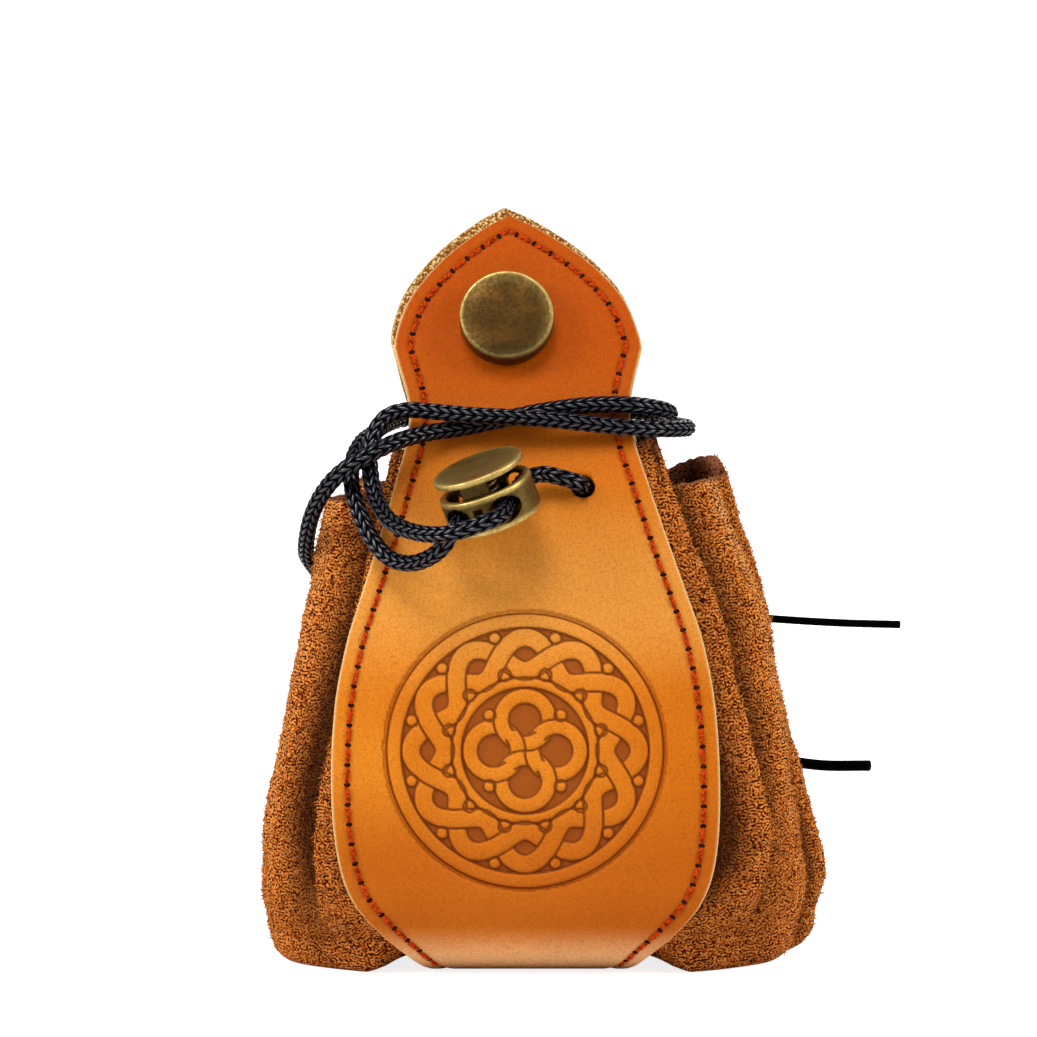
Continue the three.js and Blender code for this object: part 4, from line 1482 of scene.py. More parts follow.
@dataclass
class Stitching:
    """Seams along both edges of the strap: thread between awl slits, laid by geometry nodes."""

    shape: StrapShape
    inset: float = 2.6
    pitch: float = 3.15
    thread: float = 0.84
    twists: float = 1.3
    dip: float = 0.5
    lift: float = 0.16
    drawn_in: float = 0.14
    sunk: float = 0.55
    sway: float = 0.07
    slit: tuple[float, float, float] = (0.36, 0.6, 0.2)
    stitch_share: float = 0.9
    base_fade: tuple[float, float] = (0.2, 2.0)
    seed: int = 5

    def build(self) -> None:
        """Lays the stitches and slits along the two edges."""
        places, along, out, slits = self.spots()
        mesh = bpy.data.meshes.new("stitching")
        mesh.from_pydata((places * MM).tolist(), [], [])
        for name, values in (("along", along), ("out", out)):
            layer = mesh.attributes.new(name, "FLOAT_VECTOR", "POINT")
            layer.data.foreach_set("vector", values.astype(np.float32).ravel())
        mesh.attributes.new("slit", "BOOLEAN", "POINT").data.foreach_set("value", slits)
        sizes = {
            "Stitch Length": self.pitch * self.stitch_share, "Thread Width": self.thread, "Dip": self.dip,
            "Slit Length": self.slit[0], "Slit Width": self.slit[1], "Slit Depth": self.slit[2],
        }
        sizes = {label: size * MM for label, size in sizes.items()} | {"Twists": self.twists}
        settle(laid_by_nodes("stitching", mesh, self.tree(), sizes), Body.BAG)

    def edge_line(self, side: Side) -> tuple[Array, Array]:
        """Line of the seam along one edge, from the front tip to the back one.

        Args:
            side: the edge.

        Returns:
            x of the seam and its place along the strap, in mm.
        """
        run = np.linspace(0, self.shape.length, 4000)
        half, middle = self.shape.half_and_middle(run)
        edge = middle + side.value * half
        slope = np.gradient(edge, run)
        lean = np.sqrt(1 + slope**2)
        x, line = edge - side.value * self.inset / lean, run + side.value * self.inset * slope / lean
        centre = np.interp(line, run, middle)
        kept = (side.value * (x - centre) > 0.1) & (line > 0) & (line < self.shape.length)
        return x[kept], line[kept]

    def spots(self) -> tuple[Array, Array, Array, Array]:
        """Stitches and slits in one loop, down the right edge and back up the left.

        Returns:
            Places in mm, directions along the seam, directions out of the leather, and which are slits.
        """
        right, left = self.edge_line(Side.RIGHT), self.edge_line(Side.LEFT)
        x, line = (np.r_[a, b[::-1], a[0]] for a, b in zip(right, left))
        ways = np.r_[0, np.cumsum(np.hypot(np.diff(x), np.diff(line)))]
        count = round(ways[-1] / self.pitch)
        stops = (np.arange(2 * count) + 0.5) * ways[-1] / (2 * count)
        at_run = np.interp(stops, ways, line)
        half, middle = self.shape.half_and_middle(at_run)
        share = (np.interp(stops, ways, x) - middle) / half
        run, line, _ = self.shape.profile
        under = 1 - smooth_step(*self.base_fade, np.interp(at_run, run, line[:, 1]))
        places = self.shape.surface(at_run, share, self.drawn_in + self.sunk * under)
        along = unit(np.roll(places, -1, axis=0) - np.roll(places, 1, axis=0))
        slits = np.arange(len(stops)) % 2 == 0
        out = self.shape.outward(at_run)
        sway = np.random.default_rng(self.seed).normal(0, self.sway, (len(along), 1))
        along = unit(along + np.cross(out, along) * sway)
        return places + out * np.where(slits, 0.0, self.lift)[:, None], along, out, slits

    def tree(self) -> bpy.types.NodeTree:
        """Geometry nodes that set a two-ply stitch or a slit on each point.

        Returns:
            The tree.
        """
        floats = ("Stitch Length", "Thread Width", "Twists", "Dip", "Slit Length", "Slit Width", "Slit Depth")
        inputs = {"Geometry": Socket.SHAPE} | {label: Socket.FLOAT for label in floats}
        g = new_group("stitch_run", Tree.GEOMETRY, inputs, {"Geometry": Socket.SHAPE})
        given = g.add("NodeGroupInput").outputs
        slit = g.read("slit", "BOOLEAN")
        out = g.read("out", "FLOAT_VECTOR")
        upright = g.get("FunctionNodeAlignRotationToVector", {"Vector": out}, axis="Z")
        laid_along = {"Rotation": upright, "Vector": g.read("along", "FLOAT_VECTOR")}
        turn = g.get("FunctionNodeAlignRotationToVector", laid_along, axis="X", pivot_axis="Z")
        stitched = g.get("FunctionNodeBooleanMath", {0: slit}, operation="NOT")
        joined = g.add("GeometryNodeJoinGeometry")
        for chosen, shape, finish in (
            (stitched, self.stitch_nodes(g, given), THREAD),
            (slit, self.slit_nodes(g, given), SLIT),
        ):
            spots = {"Points": given["Geometry"], "Selection": chosen, "Instance": shape, "Rotation": turn}
            solid = g.get("GeometryNodeRealizeInstances", {0: g.get("GeometryNodeInstanceOnPoints", spots)})
            soft = g.get("GeometryNodeSetShadeSmooth", {0: solid})
            g.fill(joined, {0: g.get("GeometryNodeSetMaterial", {0: soft, "Material": finish.material()})})
        g.add("NodeGroupOutput", {0: joined.outputs[0]})
        return g.tree

    @staticmethod
    def stitch_nodes(g: Graph, given: bpy.types.NodeOutputs) -> bpy.types.NodeSocket:
        """Two plies twisted round each other along X, bent down at both ends.

        Args:
            g: the tree being laid out.
            given: its inputs.

        Returns:
            The stitch.
        """
        length, width = given["Stitch Length"], given["Thread Width"]
        ply_radius = g.times(width, 0.24)
        helix = g.get("GeometryNodeCurveSpiral", {
            "Resolution": 6, "Rotations": given["Twists"], "Start Radius": ply_radius,
            "End Radius": ply_radius, "Height": length,
        })
        shift = g.get("ShaderNodeCombineXYZ", {0: g.times(length, -0.5)})
        laid = {"Geometry": helix, "Translation": shift, "Rotation": (0.0, math.pi / 2, 0.0)}
        first = g.get("GeometryNodeTransform", laid)
        second = g.get("GeometryNodeTransform", {"Geometry": first, "Rotation": (math.pi, 0.0, 0.0)})
        plies = g.add("GeometryNodeJoinGeometry")
        for ply in (first, second):
            g.fill(plies, {0: ply})
        section = g.get("GeometryNodeCurvePrimitiveCircle", {"Resolution": 6, "Radius": g.times(width, 0.27)})
        swept = {"Curve": plies.outputs[0], "Profile Curve": section, "Fill Caps": True}
        thread = g.get("GeometryNodeCurveToMesh", swept)
        x = g.get("ShaderNodeSeparateXYZ", {0: g.get("GeometryNodeInputPosition")})
        share = g.math("ABSOLUTE", g.math("DIVIDE", x, g.times(length, 0.5)))
        sink = g.times(g.math("POWER", share, 3.0), g.times(given["Dip"], -1.0))
        offset = g.get("ShaderNodeCombineXYZ", {2: sink})
        return g.get("GeometryNodeSetPosition", {"Geometry": thread, "Offset": offset})

    @staticmethod
    def slit_nodes(g: Graph, given: bpy.types.NodeOutputs) -> bpy.types.NodeSocket:
        """Flat dark lens across the seam, painted shade standing for the awl hole.

        Args:
            g: the tree being laid out.
            given: its inputs.

        Returns:
            The slit.
        """
        ball = g.get("GeometryNodeMeshUVSphere", {"Segments": 10, "Rings": 5, "Radius": 1.0})
        size = {0: given["Slit Length"], 1: given["Slit Width"], 2: given["Slit Depth"]}
        scale = g.get("ShaderNodeCombineXYZ", size)
        return g.get("GeometryNodeTransform", {"Geometry": ball, "Scale": scale})


# Pouch of suede


POUCH_SIDES = HeightTable((
    (6, 44.4, 43.4), (13, 45.2, 45.2), (25, 44.4, 42.4), (35, 42.4, 39.6), (49, 39.6, 36.4), (57, 38.0, 35.7),
    (63, 36.9, 34.0), (73, 35.1, 30.2), (84, 33.4, 27.5),
))


@dataclass(frozen=True)
class Fold:
    """One gather, in mm: its end as a share of the depth, then its crest and the dip after it at three
    heights, and the height of the rim on the crest and in the dip."""

    end: float
    crest: tuple[float, float, float]
    dip: tuple[float, float, float]
    rim: tuple[float, float]


@dataclass(frozen=True)
class Pleat:
    """Gathers that roll into one tube towards the rim: the first and last of them, the heights in mm between
    which the tube forms, how square it is, where its corner and the crease beside it lie, from -1 in front to
    1 behind, and the depth of the crease in mm. The corner is pale from wear and painted highlight; the
    crease and both ends of the tube take painted shade."""

    first: int
    last: int
    heights: tuple[float, float]
    square: float
    corner: float
    crease: float
    depth: float


@dataclass
class Nap:
    """Raised fibres of the suede, laid by geometry nodes: sizes in mm, angles from upright in degrees."""

    density: float = 2.6
    length: float = 0.8
    width: float = 0.19
    lean: tuple[float, float] = (35.0, 82.0)
    grown: tuple[float, float] = (0.6, 1.4)
    seed: int = 11

    def build(self, pouch: bpy.types.Object) -> None:
        """Scatters the fibres over the pouch.

        Args:
            pouch: the finished pouch, whose mark "fuzzy" says where they grow.
        """
        sizes = {"Density": self.density / MM**2, "Length": self.length * MM, "Width": self.width * MM}
        nap = laid_by_nodes("pouch_nap", pouch.data.copy(), self.tree(), sizes)
        settle(nap, Body.BAG, ())

    def chance(self, g: Graph, low: float, high: float, draw: int) -> bpy.types.NodeSocket:
        """Random value for each fibre."""
        return g.add("FunctionNodeRandomValue", {2: low, 3: high, 8: self.seed + draw}).outputs[1]

    def tree(self) -> bpy.types.NodeTree:
        """Geometry nodes that set a thin leaning fibre on each scattered point.

        Returns:
            The tree.
        """
        inputs = {"Geometry": Socket.SHAPE}
        inputs |= {label: Socket.FLOAT for label in ("Density", "Length", "Width")}
        g = new_group("nap_fibres", Tree.GEOMETRY, inputs, {"Geometry": Socket.SHAPE})
        given = g.add("NodeGroupInput").outputs
        density = g.times(given["Density"], g.read("fuzzy", "FLOAT"))
        spread = {"Mesh": given["Geometry"], "Density": density, "Seed": self.seed}
        roots = g.add("GeometryNodeDistributePointsOnFaces", spread).outputs
        tufts = {"Geometry": roots["Points"], "Name": "tuft", "Value": self.chance(g, 0.0, 1.0, 1)}
        marked = g.get("GeometryNodeStoreNamedAttribute", tufts, data_type="FLOAT", domain="POINT")
        lean = self.chance(g, *(math.radians(angle) for angle in self.lean), 2)
        angles = g.get("ShaderNodeCombineXYZ", {0: lean, 2: self.chance(g, 0.0, 2 * math.pi, 3)})
        tip = g.get("FunctionNodeEulerToRotation", {0: angles})
        laid = {"Rotation": roots["Rotation"], "Rotate By": tip}
        turn = g.get("FunctionNodeRotateRotation", laid, rotation_space="LOCAL")
        half = g.times(given["Width"], 0.5)
        cone = {"Vertices": 3, "Radius Top": 0.0, "Radius Bottom": half, "Depth": given["Length"]}
        fibre = g.get("GeometryNodeMeshCone", cone)
        size = self.chance(g, *self.grown, 4)
        spots = {"Points": marked, "Instance": fibre, "Rotation": turn, "Scale": size}
        solid = g.get("GeometryNodeRealizeInstances", {0: g.get("GeometryNodeInstanceOnPoints", spots)})
        dressed = g.get("GeometryNodeSetMaterial", {0: solid, "Material": SUEDE.material()})
        g.add("NodeGroupOutput", {0: dressed})
        return g.tree


@dataclass
class SuedePouch:
    """The gathered bag: a napped shell with folds down both sides and a raw rim."""

    strap: StrapShape
    nap: Nap = field(default_factory=Nap)
    thick: float = 1.5
    rolled_thick: float = 1.0
    seam_gap: float = 0.45
    seam_inset: float = 2.5
    fold_heights: tuple[float, float, float] = (18.0, 42.0, 76.0)
    right_folds: tuple[Fold, ...] = (
        Fold(0.12, (5.0, 2.0, 1.2), (-0.6, -4.5, -4.6), (84.4, 76.4)),
        Fold(0.5, (1.2, 3.5, 6.5), (-1.8, -3.0, -3.0), (77.6, 77.6)),
        Fold(0.8, (4.5, 3.0, 5.6), (-1.5, -3.5, -5.0), (80.6, 77.2)),
        Fold(1.0, (0.6, 1.5, 2.0), (0.0, 0.0, 0.0), (76.0, 76.5)),
    )
    left_folds: tuple[Fold, ...] = (
        Fold(0.1, (0.6, -1.5, 1.6), (-4.0, -4.2, -5.0), (83.0, 74.0)),
        Fold(0.5, (1.5, 3.0, 8.0), (-0.8, -3.0, -5.0), (74.2, 75.2)),
        Fold(0.8, (1.5, 0.8, 3.5), (-1.0, -3.0, -5.0), (76.8, 75.0)),
        Fold(1.0, (0.6, 1.5, 2.0), (0.0, 0.0, 0.0), (75.4, 76.5)),
    )
    strip_fade: tuple[float, float] = (4.0, 26.0)
    strip_shade: float = 0.13
    right_pleat: Pleat = Pleat(1, 2, (50.0, 72.0), 2.3, -0.62, -0.36, 0.9)
    rim_at_strap: float = 83.5
    fold_segments: int = 44
    flat_segments: int = 12
    base_shares: tuple[float, ...] = (0.04, 0.16, 0.3, 0.44, 0.58, 0.7, 0.8, 0.86)
    foot_share: float = 0.89
    foot_height: float = 6.0
    foot_rows: int = 16
    body_rows: int = 146
    top_ring: float = 72.0
    rim_rows: int = 14
    inner_step: int = 5
    shaded: float = -0.45
    ragged: float = 0.45
    grain: tuple[tuple[float, float], ...] = ((7.0, 0.4), (1.5, 0.16), (0.8, 0.14))
    floor_fade: tuple[float, float] = (0.3, 4.0)
    fuzzy_fade: tuple[float, float] = (1.2, 4.0)
    lip_height: float = 0.25
    inside_shade: float = 0.7
    seam_share: float = 0.12
    tight_heights: tuple[float, float] = (30.0, 70.0)
    crest_start: float = 0.84
    crest_most: float = 0.09
    crest_depth: float = 6.0

    def build(self) -> None:
        """Makes the shell, its inner wall and its rim."""
        outer, crest = self.outer_rings()
        out = self.outward(outer)
        count = outer.shape[1]
        ease = 1 - self.flat_columns(count)[None, :]
        inner = (outer - out * self.walls(count)[None, :, None])[:: -self.inner_step]
        loose = outer.reshape(-1, 3)
        rough = sum(noise_at(loose, size, 3.7 * size) * high for size, high in self.grain)
        off_floor = smooth_step(*self.floor_fade, outer[..., 2])
        outer = outer + out * (rough.reshape(crest.shape) * ease * off_floor)[..., None]
        outer[-1, :, 2] += self.ragged * noise_at(outer[-1], 1.1, 4.3) * ease[0]
        lip = (outer[-1] + inner[0]) / 2 + (0, 0, self.lip_height)
        points, faces = closed_rings(np.concatenate([outer, lip[None], inner]))
        rows, hidden = len(outer), (len(inner) + 1, count)
        fuzzy = ease * smooth_step(*self.fuzzy_fade, outer[..., 2])
        fuzzy[: len(self.base_shares) + 1] = 0.0
        marks = {
            # crest marks pale crests, worn and with painted highlight; the shade mark paints shade in the
            # dips, behind the strap and inside the pouch.
            "crest": np.concatenate([clamp01(5 * crest), np.zeros(hidden)]),
            "painted_suede_shade": np.concatenate([clamp01(-2.1 * crest), np.full(hidden, self.inside_shade)]),
            "cut": np.zeros((rows + len(inner) + 1, count)),
            "fuzzy": np.concatenate([fuzzy, np.zeros(hidden)]),
        }
        marks["cut"][rows - 2 : rows + 2] = ((0.3,), (0.8,), (1.0,), (0.9,))
        marks = {mark: np.r_[found.ravel(), 0, 0] for mark, found in marks.items()}
        pouch = make_object("pouch", points, faces, SUEDE.material(), marks, 180.0)
        settle(pouch, Body.BAG, ["suede_pouch"])
        self.nap.build(pouch)

    def walls(self, count: int) -> Array:
        """Thickness of the wall, greater where the pleat is rolled.

        Args:
            count: number of columns in a ring.

        Returns:
            One thickness per column, in mm.
        """
        pleat = self.right_pleat
        place = (np.arange(count) / self.fold_segments - pleat.first) / (pleat.last + 1 - pleat.first)
        return self.thick + self.rolled_thick * np.sin(np.pi * clamp01(place))

    def folds(self, side: Side) -> tuple[Fold, ...]:
        """The gathers of one side, from the front seam to the back one."""
        return self.right_folds if side is Side.RIGHT else self.left_folds

    def flat_columns(self, count: int) -> Array:
        """Mask of the columns that lie behind the strap or at its seams.

        Args:
            count: number of columns in a ring.

        Returns:
            One value per column, 1 where the pouch lies flat.
        """
        sides = len(self.right_folds) * self.fold_segments + 1
        place = np.linspace(0, 1, sides)
        flat = np.ones(count)
        for first in (0, sides + self.flat_segments - 1):
            flat[first : first + sides] = 1 - smooth_step(0, self.seam_share, np.minimum(place, 1 - place))
        return flat

    @staticmethod
    def roundness(share: Array) -> Array:
        """Plain bulge of a side at a share of the pouch's depth."""
        return (1 - np.abs(2 * share - 1) ** 2.4) ** 0.6

    def face_y(self, z: Array, face: Face) -> Array:
        """Where the pouch lies behind the strap.

        Args:
            z: heights in mm.
            face: front or back.

        Returns:
            y at those heights, in mm.
        """
        depth = self.strap.thick + self.seam_gap
        radius = self.strap.heel_radius
        drop = radius - np.clip(z, depth, radius)
        low = face.value * (self.strap.heel_y + np.sqrt((radius - depth) ** 2 - drop**2))
        column = 1 if face is Face.FRONT else 2
        slope = (STRAP_FACES.at(column, z + 1) - STRAP_FACES.at(column, z - 1)) / 2
        high = STRAP_FACES.at(column, z) - face.value * depth * np.sqrt(1 + slope**2)
        return np.where(z < radius, low, high)

    def fold_value(self, values: tuple[float, float, float], z: Array) -> Array:
        """A fold's size at heights, in mm."""
        return np.interp(z, self.fold_heights, values)

    def side_points(self, side: Side, height_under: Callable[[Array], Array]) -> tuple[Array, Array]:
        """One side of a ring, from the front seam to the back one.

        Args:
            side: the side.
            height_under: height of the ring's points from the heights of the rim above them.

        Returns:
            Places in mm, and how far each stands on a crest or lies in a dip.
        """
        folds = self.folds(side)
        points, crests = [], []
        for i, fold in enumerate(folds):
            last = i == len(folds) - 1
            before = folds[i - 1].rim[1] if i else self.rim_at_strap
            turn = np.pi * np.arange(self.fold_segments + last) / self.fold_segments
            across = (1 - np.cos(turn)) / 2
            z = height_under(mix(mix(before, fold.rim[1], across), fold.rim[0], np.sin(turn) ** 1.5))
            seam = STRAP_WIDTHS.at(2, z) + side.value * (STRAP_WIDTHS.at(1, z) - self.seam_inset)
            room = POUCH_SIDES.at(2 if side is Side.RIGHT else 1, z) - side.value * seam
            ends = [0.0, *(f.end for f in folds)]
            middles = [(a + b) / 2 for a, b in zip(ends, ends[1:])]
            calm = [smooth_step(*self.strip_fade, z), *np.ones((len(folds) - 1, len(z)))]
            peaks = [self.fold_value(f.crest, z) * ease for f, ease in zip(folds, calm)]
            dips = [np.zeros_like(z), *(self.fold_value(f.dip, z) * ease for f, ease in zip(folds, calm))]
            bulge = np.minimum.reduce([(room - peak) / self.roundness(m) for peak, m in zip(peaks, middles)])
            low, high = self.tight_heights
            tight = clamp01((z - low) / (high - low))
            swell = mix(np.sin(np.pi * across) ** 1.5, np.sin(turn) ** 0.8, tight)
            share = mix(ends[i], ends[i + 1], across)
            valley = mix(dips[i], dips[i + 1], across)
            out = bulge * self.roundness(share) + mix(valley, peaks[i], swell)
            # Crest mark: pale crests with painted highlight, painted shade in the dips and on the strip
            # beside the strap.
            crest = np.minimum(swell - self.crest_start, self.crest_most)
            crest = crest * clamp01((peaks[i] - valley) / self.crest_depth) - (0 if i else self.strip_shade)
            pleat = self.right_pleat
            if side is Side.RIGHT and pleat.first <= i <= pleat.last:
                start, end = ends[pleat.first], ends[pleat.last + 1]
                place = 2 * (share - start) / (end - start) - 1
                necks = [bulge * self.roundness(ends[k]) + dips[k] for k in (pleat.first, pleat.last + 1)]
                neck = mix(*necks, (place + 1) / 2)
                lobe = np.sqrt(clamp01(1 - np.abs(place) ** pleat.square))
                formed = smooth_step(*pleat.heights, z)
                out = mix(out, neck + (room - neck) * lobe, formed)
                lines = (pleat.corner, pleat.crease)
                corner, crease = (np.exp(-(((place - line) / 0.1) ** 2)) for line in lines)
                out = out - pleat.depth * crease * formed
                # Inside the tube the mark is painted light: highlight on its corner, shade in the crease and
                # at both ends.
                wear_and_painted_light = 0.2 * corner - 0.25 * crease - 0.7 * np.abs(place) ** 8
                crest = mix(crest, wear_and_painted_light, formed)
            crown = self.strap.crown_at(z)
            y = mix(self.face_y(z, Face.FRONT) + crown, self.face_y(z, Face.BACK) - crown, share)
            points.append(np.column_stack([seam + side.value * out, y, z]))
            crests.append(crest)
        return np.vstack(points), np.concatenate(crests)

    def flat_points(self, face: Face, height_under: Callable[[Array], Array]) -> Array:
        """Part of a ring behind the strap, from the left seam to the right.

        Args:
            face: front or back.
            height_under: height of the ring's points from the heights of the rim above them.

        Returns:
            Places in mm.
        """
        share = 2 * np.arange(1, self.flat_segments) / self.flat_segments - 1
        rim = self.rim_at_strap if face is Face.FRONT else self.right_folds[-1].rim[1]
        z = height_under(np.full(len(share), rim))
        x = STRAP_WIDTHS.at(2, z) + (STRAP_WIDTHS.at(1, z) - self.seam_inset) * share
        y = self.face_y(z, face) - face.value * self.strap.crown_at(z) * share**2
        return np.column_stack([x, y, z])

    def ring(self, height_under: Callable[[Array], Array]) -> tuple[Array, Array]:
        """One ring of the outer face, anticlockwise from above.

        Args:
            height_under: height of the ring's points from the heights of the rim above them.

        Returns:
            Places in mm, and how far each stands on a crest or lies in a dip.
        """
        right, right_crests = self.side_points(Side.RIGHT, height_under)
        left, left_crests = self.side_points(Side.LEFT, height_under)
        back = self.flat_points(Face.BACK, height_under)[::-1]
        front = self.flat_points(Face.FRONT, height_under)
        plain = np.full(len(front), self.shaded)
        crests = np.concatenate([right_crests, plain, left_crests[::-1], plain])
        return np.vstack([right, back, left[::-1], front]), crests

    def outer_rings(self) -> tuple[Array, Array]:
        """Rings of the outer face from the middle of the base to the rim.

        Returns:
            Places in mm, and how far each stands on a crest or lies in a dip.
        """
        plan, foot_crests = self.ring(lambda rim: np.full_like(rim, self.foot_height))
        rings, crests = [], []
        turns = np.linspace(0, np.pi / 2, self.foot_rows, endpoint=False)
        reach = 1 - self.foot_share
        base = [(share, 0.0) for share in self.base_shares]
        base += [(self.foot_share + reach * math.sin(t), self.foot_height * (1 - math.cos(t))) for t in turns]
        middle = STRAP_WIDTHS.rows[0][2]
        for share, height in base:
            x, y = middle + (plan[:, 0] - middle) * share, plan[:, 1] * share
            rings.append(np.column_stack([x, y, np.maximum(height, self.lift(x, y))]))
            crests.append(foot_crests * share**2)
        heights = np.linspace(self.foot_height, self.top_ring, self.body_rows)
        levels = [(lambda rim, z=z: np.full_like(rim, z)) for z in heights]
        steps = np.linspace(0, 1, self.rim_rows + 1)[1:]
        levels += [(lambda rim, s=s: mix(self.top_ring, rim, s)) for s in steps]
        for level in levels:
            ring, crest = self.ring(level)
            rings.append(ring)
            crests.append(crest)
        return np.stack(rings), np.stack(crests)

    def lift(self, x: Array, y: Array) -> Array:
        """Height of the base where it lies on the strap.

        Args:
            x: places across, in mm.
            y: places from front to back, in mm.

        Returns:
            Heights in mm.
        """
        inner = self.strap.heel_radius - self.strap.thick - self.seam_gap
        over = np.clip(np.abs(y) - self.strap.heel_y, 0, inner)
        lift = self.strap.heel_radius - np.sqrt(inner**2 - over**2)
        away = np.abs(x - STRAP_WIDTHS.rows[0][2]) - STRAP_WIDTHS.at(1, lift) - 1
        return lift * (1 - clamp01(away / 6)) ** 2

    @staticmethod
    def outward(rings: Array) -> Array:
        """Directions out of a skin of rings.

        Args:
            rings: places in mm, shaped (rings, points of a ring, 3).

        Returns:
            One direction for each place.
        """
        around = np.roll(rings, -1, axis=1) - np.roll(rings, 1, axis=1)
        up = np.gradient(rings, axis=0)
        way = np.cross(around, up)
        return way / np.maximum(np.linalg.norm(way, axis=-1, keepdims=True), 1e-9)


# Fittings of brass


@dataclass(frozen=True)
class Seat:
    """Where a turned fitting stands: place in mm, the directions of its own X and Y, and its axis."""

    place: Array
    across: Array
    way: Array
    axis: Array

    def put(self, local: Array) -> Array:
        """Places of the fitting's own points in the frame, in mm."""
        return self.place + local @ np.stack([self.across, self.way, self.axis])


def turned(
    name: str,
    rows: Sequence[tuple[float, float, float]],
    seat: Seat,
    aged: float,
    painted_shade_below: float = 0.0,
    segments: int = 96,
) -> bpy.types.Object:
    """A turned brass piece.

    Args:
        name: name of the piece.
        rows: radius and height in mm, and how bright the metal is there from wear and painted highlight, or
            below 0 how much painted shade it takes.
        seat: where it stands.
        aged: how dark its faces have turned.
        painted_shade_below: how much of the bright rim is missing at its lowest side, as painted shade, with
            a dark crescent of painted reflection there.
        segments: number of steps round it.

    Returns:
        The piece.
    """
    profile = np.array(rows)
    turn = np.linspace(0, 2 * np.pi, segments, endpoint=False)
    rings = np.stack([np.column_stack([polar(r, turn), np.full(segments, h)]) for r, h, _ in profile])
    points, faces = closed_rings(seat.put(rings))
    # The bright rims fade on the lowest side, a painted highlight lit from above.
    bared = np.maximum(profile[:, 2:], 0) * (1 - painted_shade_below * (1 - np.sin(turn)) / 2)
    wear_and_painted_light = np.r_[bared.ravel(), bared[0].mean(), bared[-1].mean()]
    # A crescent low on the piece, and rows below 0, take painted shade.
    low = -profile[:, :1] * np.sin(turn) / profile[:, 0].max()
    painted_brass_shade = np.maximum(painted_shade_below * smooth_step(0.6, 0.76, low), -profile[:, 2:])
    painted_brass_shade = np.r_[painted_brass_shade.ravel(), painted_brass_shade[0].mean(), painted_brass_shade[-1].mean()]
    marks = {"edge": wear_and_painted_light, "aged": np.full(len(wear_and_painted_light), aged), "painted_brass_shade": painted_brass_shade}
    return make_object(name, points, faces, BRASS.material(), marks, 40.0)


def bead(radius: float, height: float, size: float, inner: bool = False, wear_and_painted_light: float = 1.0) -> list[Point]:
    """Rows of a rounded corner of a turned piece.

    Args:
        radius: radius of the piece at the corner's outside, in mm.
        height: height of the corner, in mm.
        size: radius of the rounding, in mm; negative where the corner faces down.
        inner: whether the rows run from the axis outwards.
        wear_and_painted_light: how bright the metal is there, from wear and painted highlight.

    Returns:
        Rows of radius, height and wear.
    """
    turns = np.linspace(0, np.pi / 2, 5)
    reach = abs(size)
    rows = [(radius - reach * (1 - math.cos(t)), height - size * (1 - math.sin(t)), wear_and_painted_light) for t in turns]
    return rows[::-1] if inner else rows


@dataclass
class SnapFastener:
    """Snap through the two tabs: flat cap with a rolled rim, post and back plate."""

    shape: StrapShape
    x: float = -6.1
    z: float = 102.2
    cap_radius: float = 7.5
    cap_height: float = 3.8
    post_radius: float = 2.2
    back_radius: float = 5.0
    back_thick: float = 1.6
    tab_gap: float = 2.1
    seat_lift: float = 0.3

    def build(self) -> None:
        """Turns the snap about the normal of the front tab."""
        back_top = -2 * self.shape.thick - self.tab_gap
        back_low = back_top - self.back_thick
        rim = self.cap_radius
        top, seat_at = self.cap_height, self.seat_lift
        # The bright ring inside the rolled rim is partly wear and partly painted highlight.
        rows = [
            (0.02, back_low, 0.2), (1.6, back_low, 0.6), (2.0, back_low + 0.3, 0.2),
            (2.6, back_low + 0.3, 0.2), (3.0, back_low, 0.7), (self.back_radius - 0.6, back_low, 0.5),
            *bead(self.back_radius, back_low, -0.6, inner=True), (self.back_radius, back_top, 0.3),
            (self.post_radius, back_top, 0.0), (self.post_radius, seat_at, 0.0),
            (rim - 0.8, seat_at, 0.1), *bead(rim, seat_at, -0.4, inner=True, wear_and_painted_light=0.7),
            (rim, top - 1.2, 0.1), *bead(rim, top - 0.05, 0.35, wear_and_painted_light=0.85),
            (rim - 0.5, top - 0.06, 0.4), (rim - 0.8, top - 0.08, 0.12), (rim - 1.5, top - 0.06, 0.06),
            (rim - 2.2, top - 0.04, 0.02), (rim - 3.2, top, 0.0), (2.0, top + 0.05, 0.0),
            (0.02, top + 0.06, 0.0),
        ]
        y = STRAP_FACES.at(1, np.array(self.z))
        slope = (STRAP_FACES.at(1, np.array(self.z + 1)) - STRAP_FACES.at(1, np.array(self.z - 1))) / 2
        axis = unit(np.array((0.0, -1.0, float(slope))))
        across = np.array((1.0, 0.0, 0.0))
        seat = Seat(np.array((self.x, float(y), self.z)), across, np.cross(axis, across), axis)
        # Painted shade dulls the lowest side of the cap and lays a dark reflection there.
        snap = turned("snap", rows, seat, 1.0, 0.8)
        settle(snap, Body.BAG, ["snap_button"])


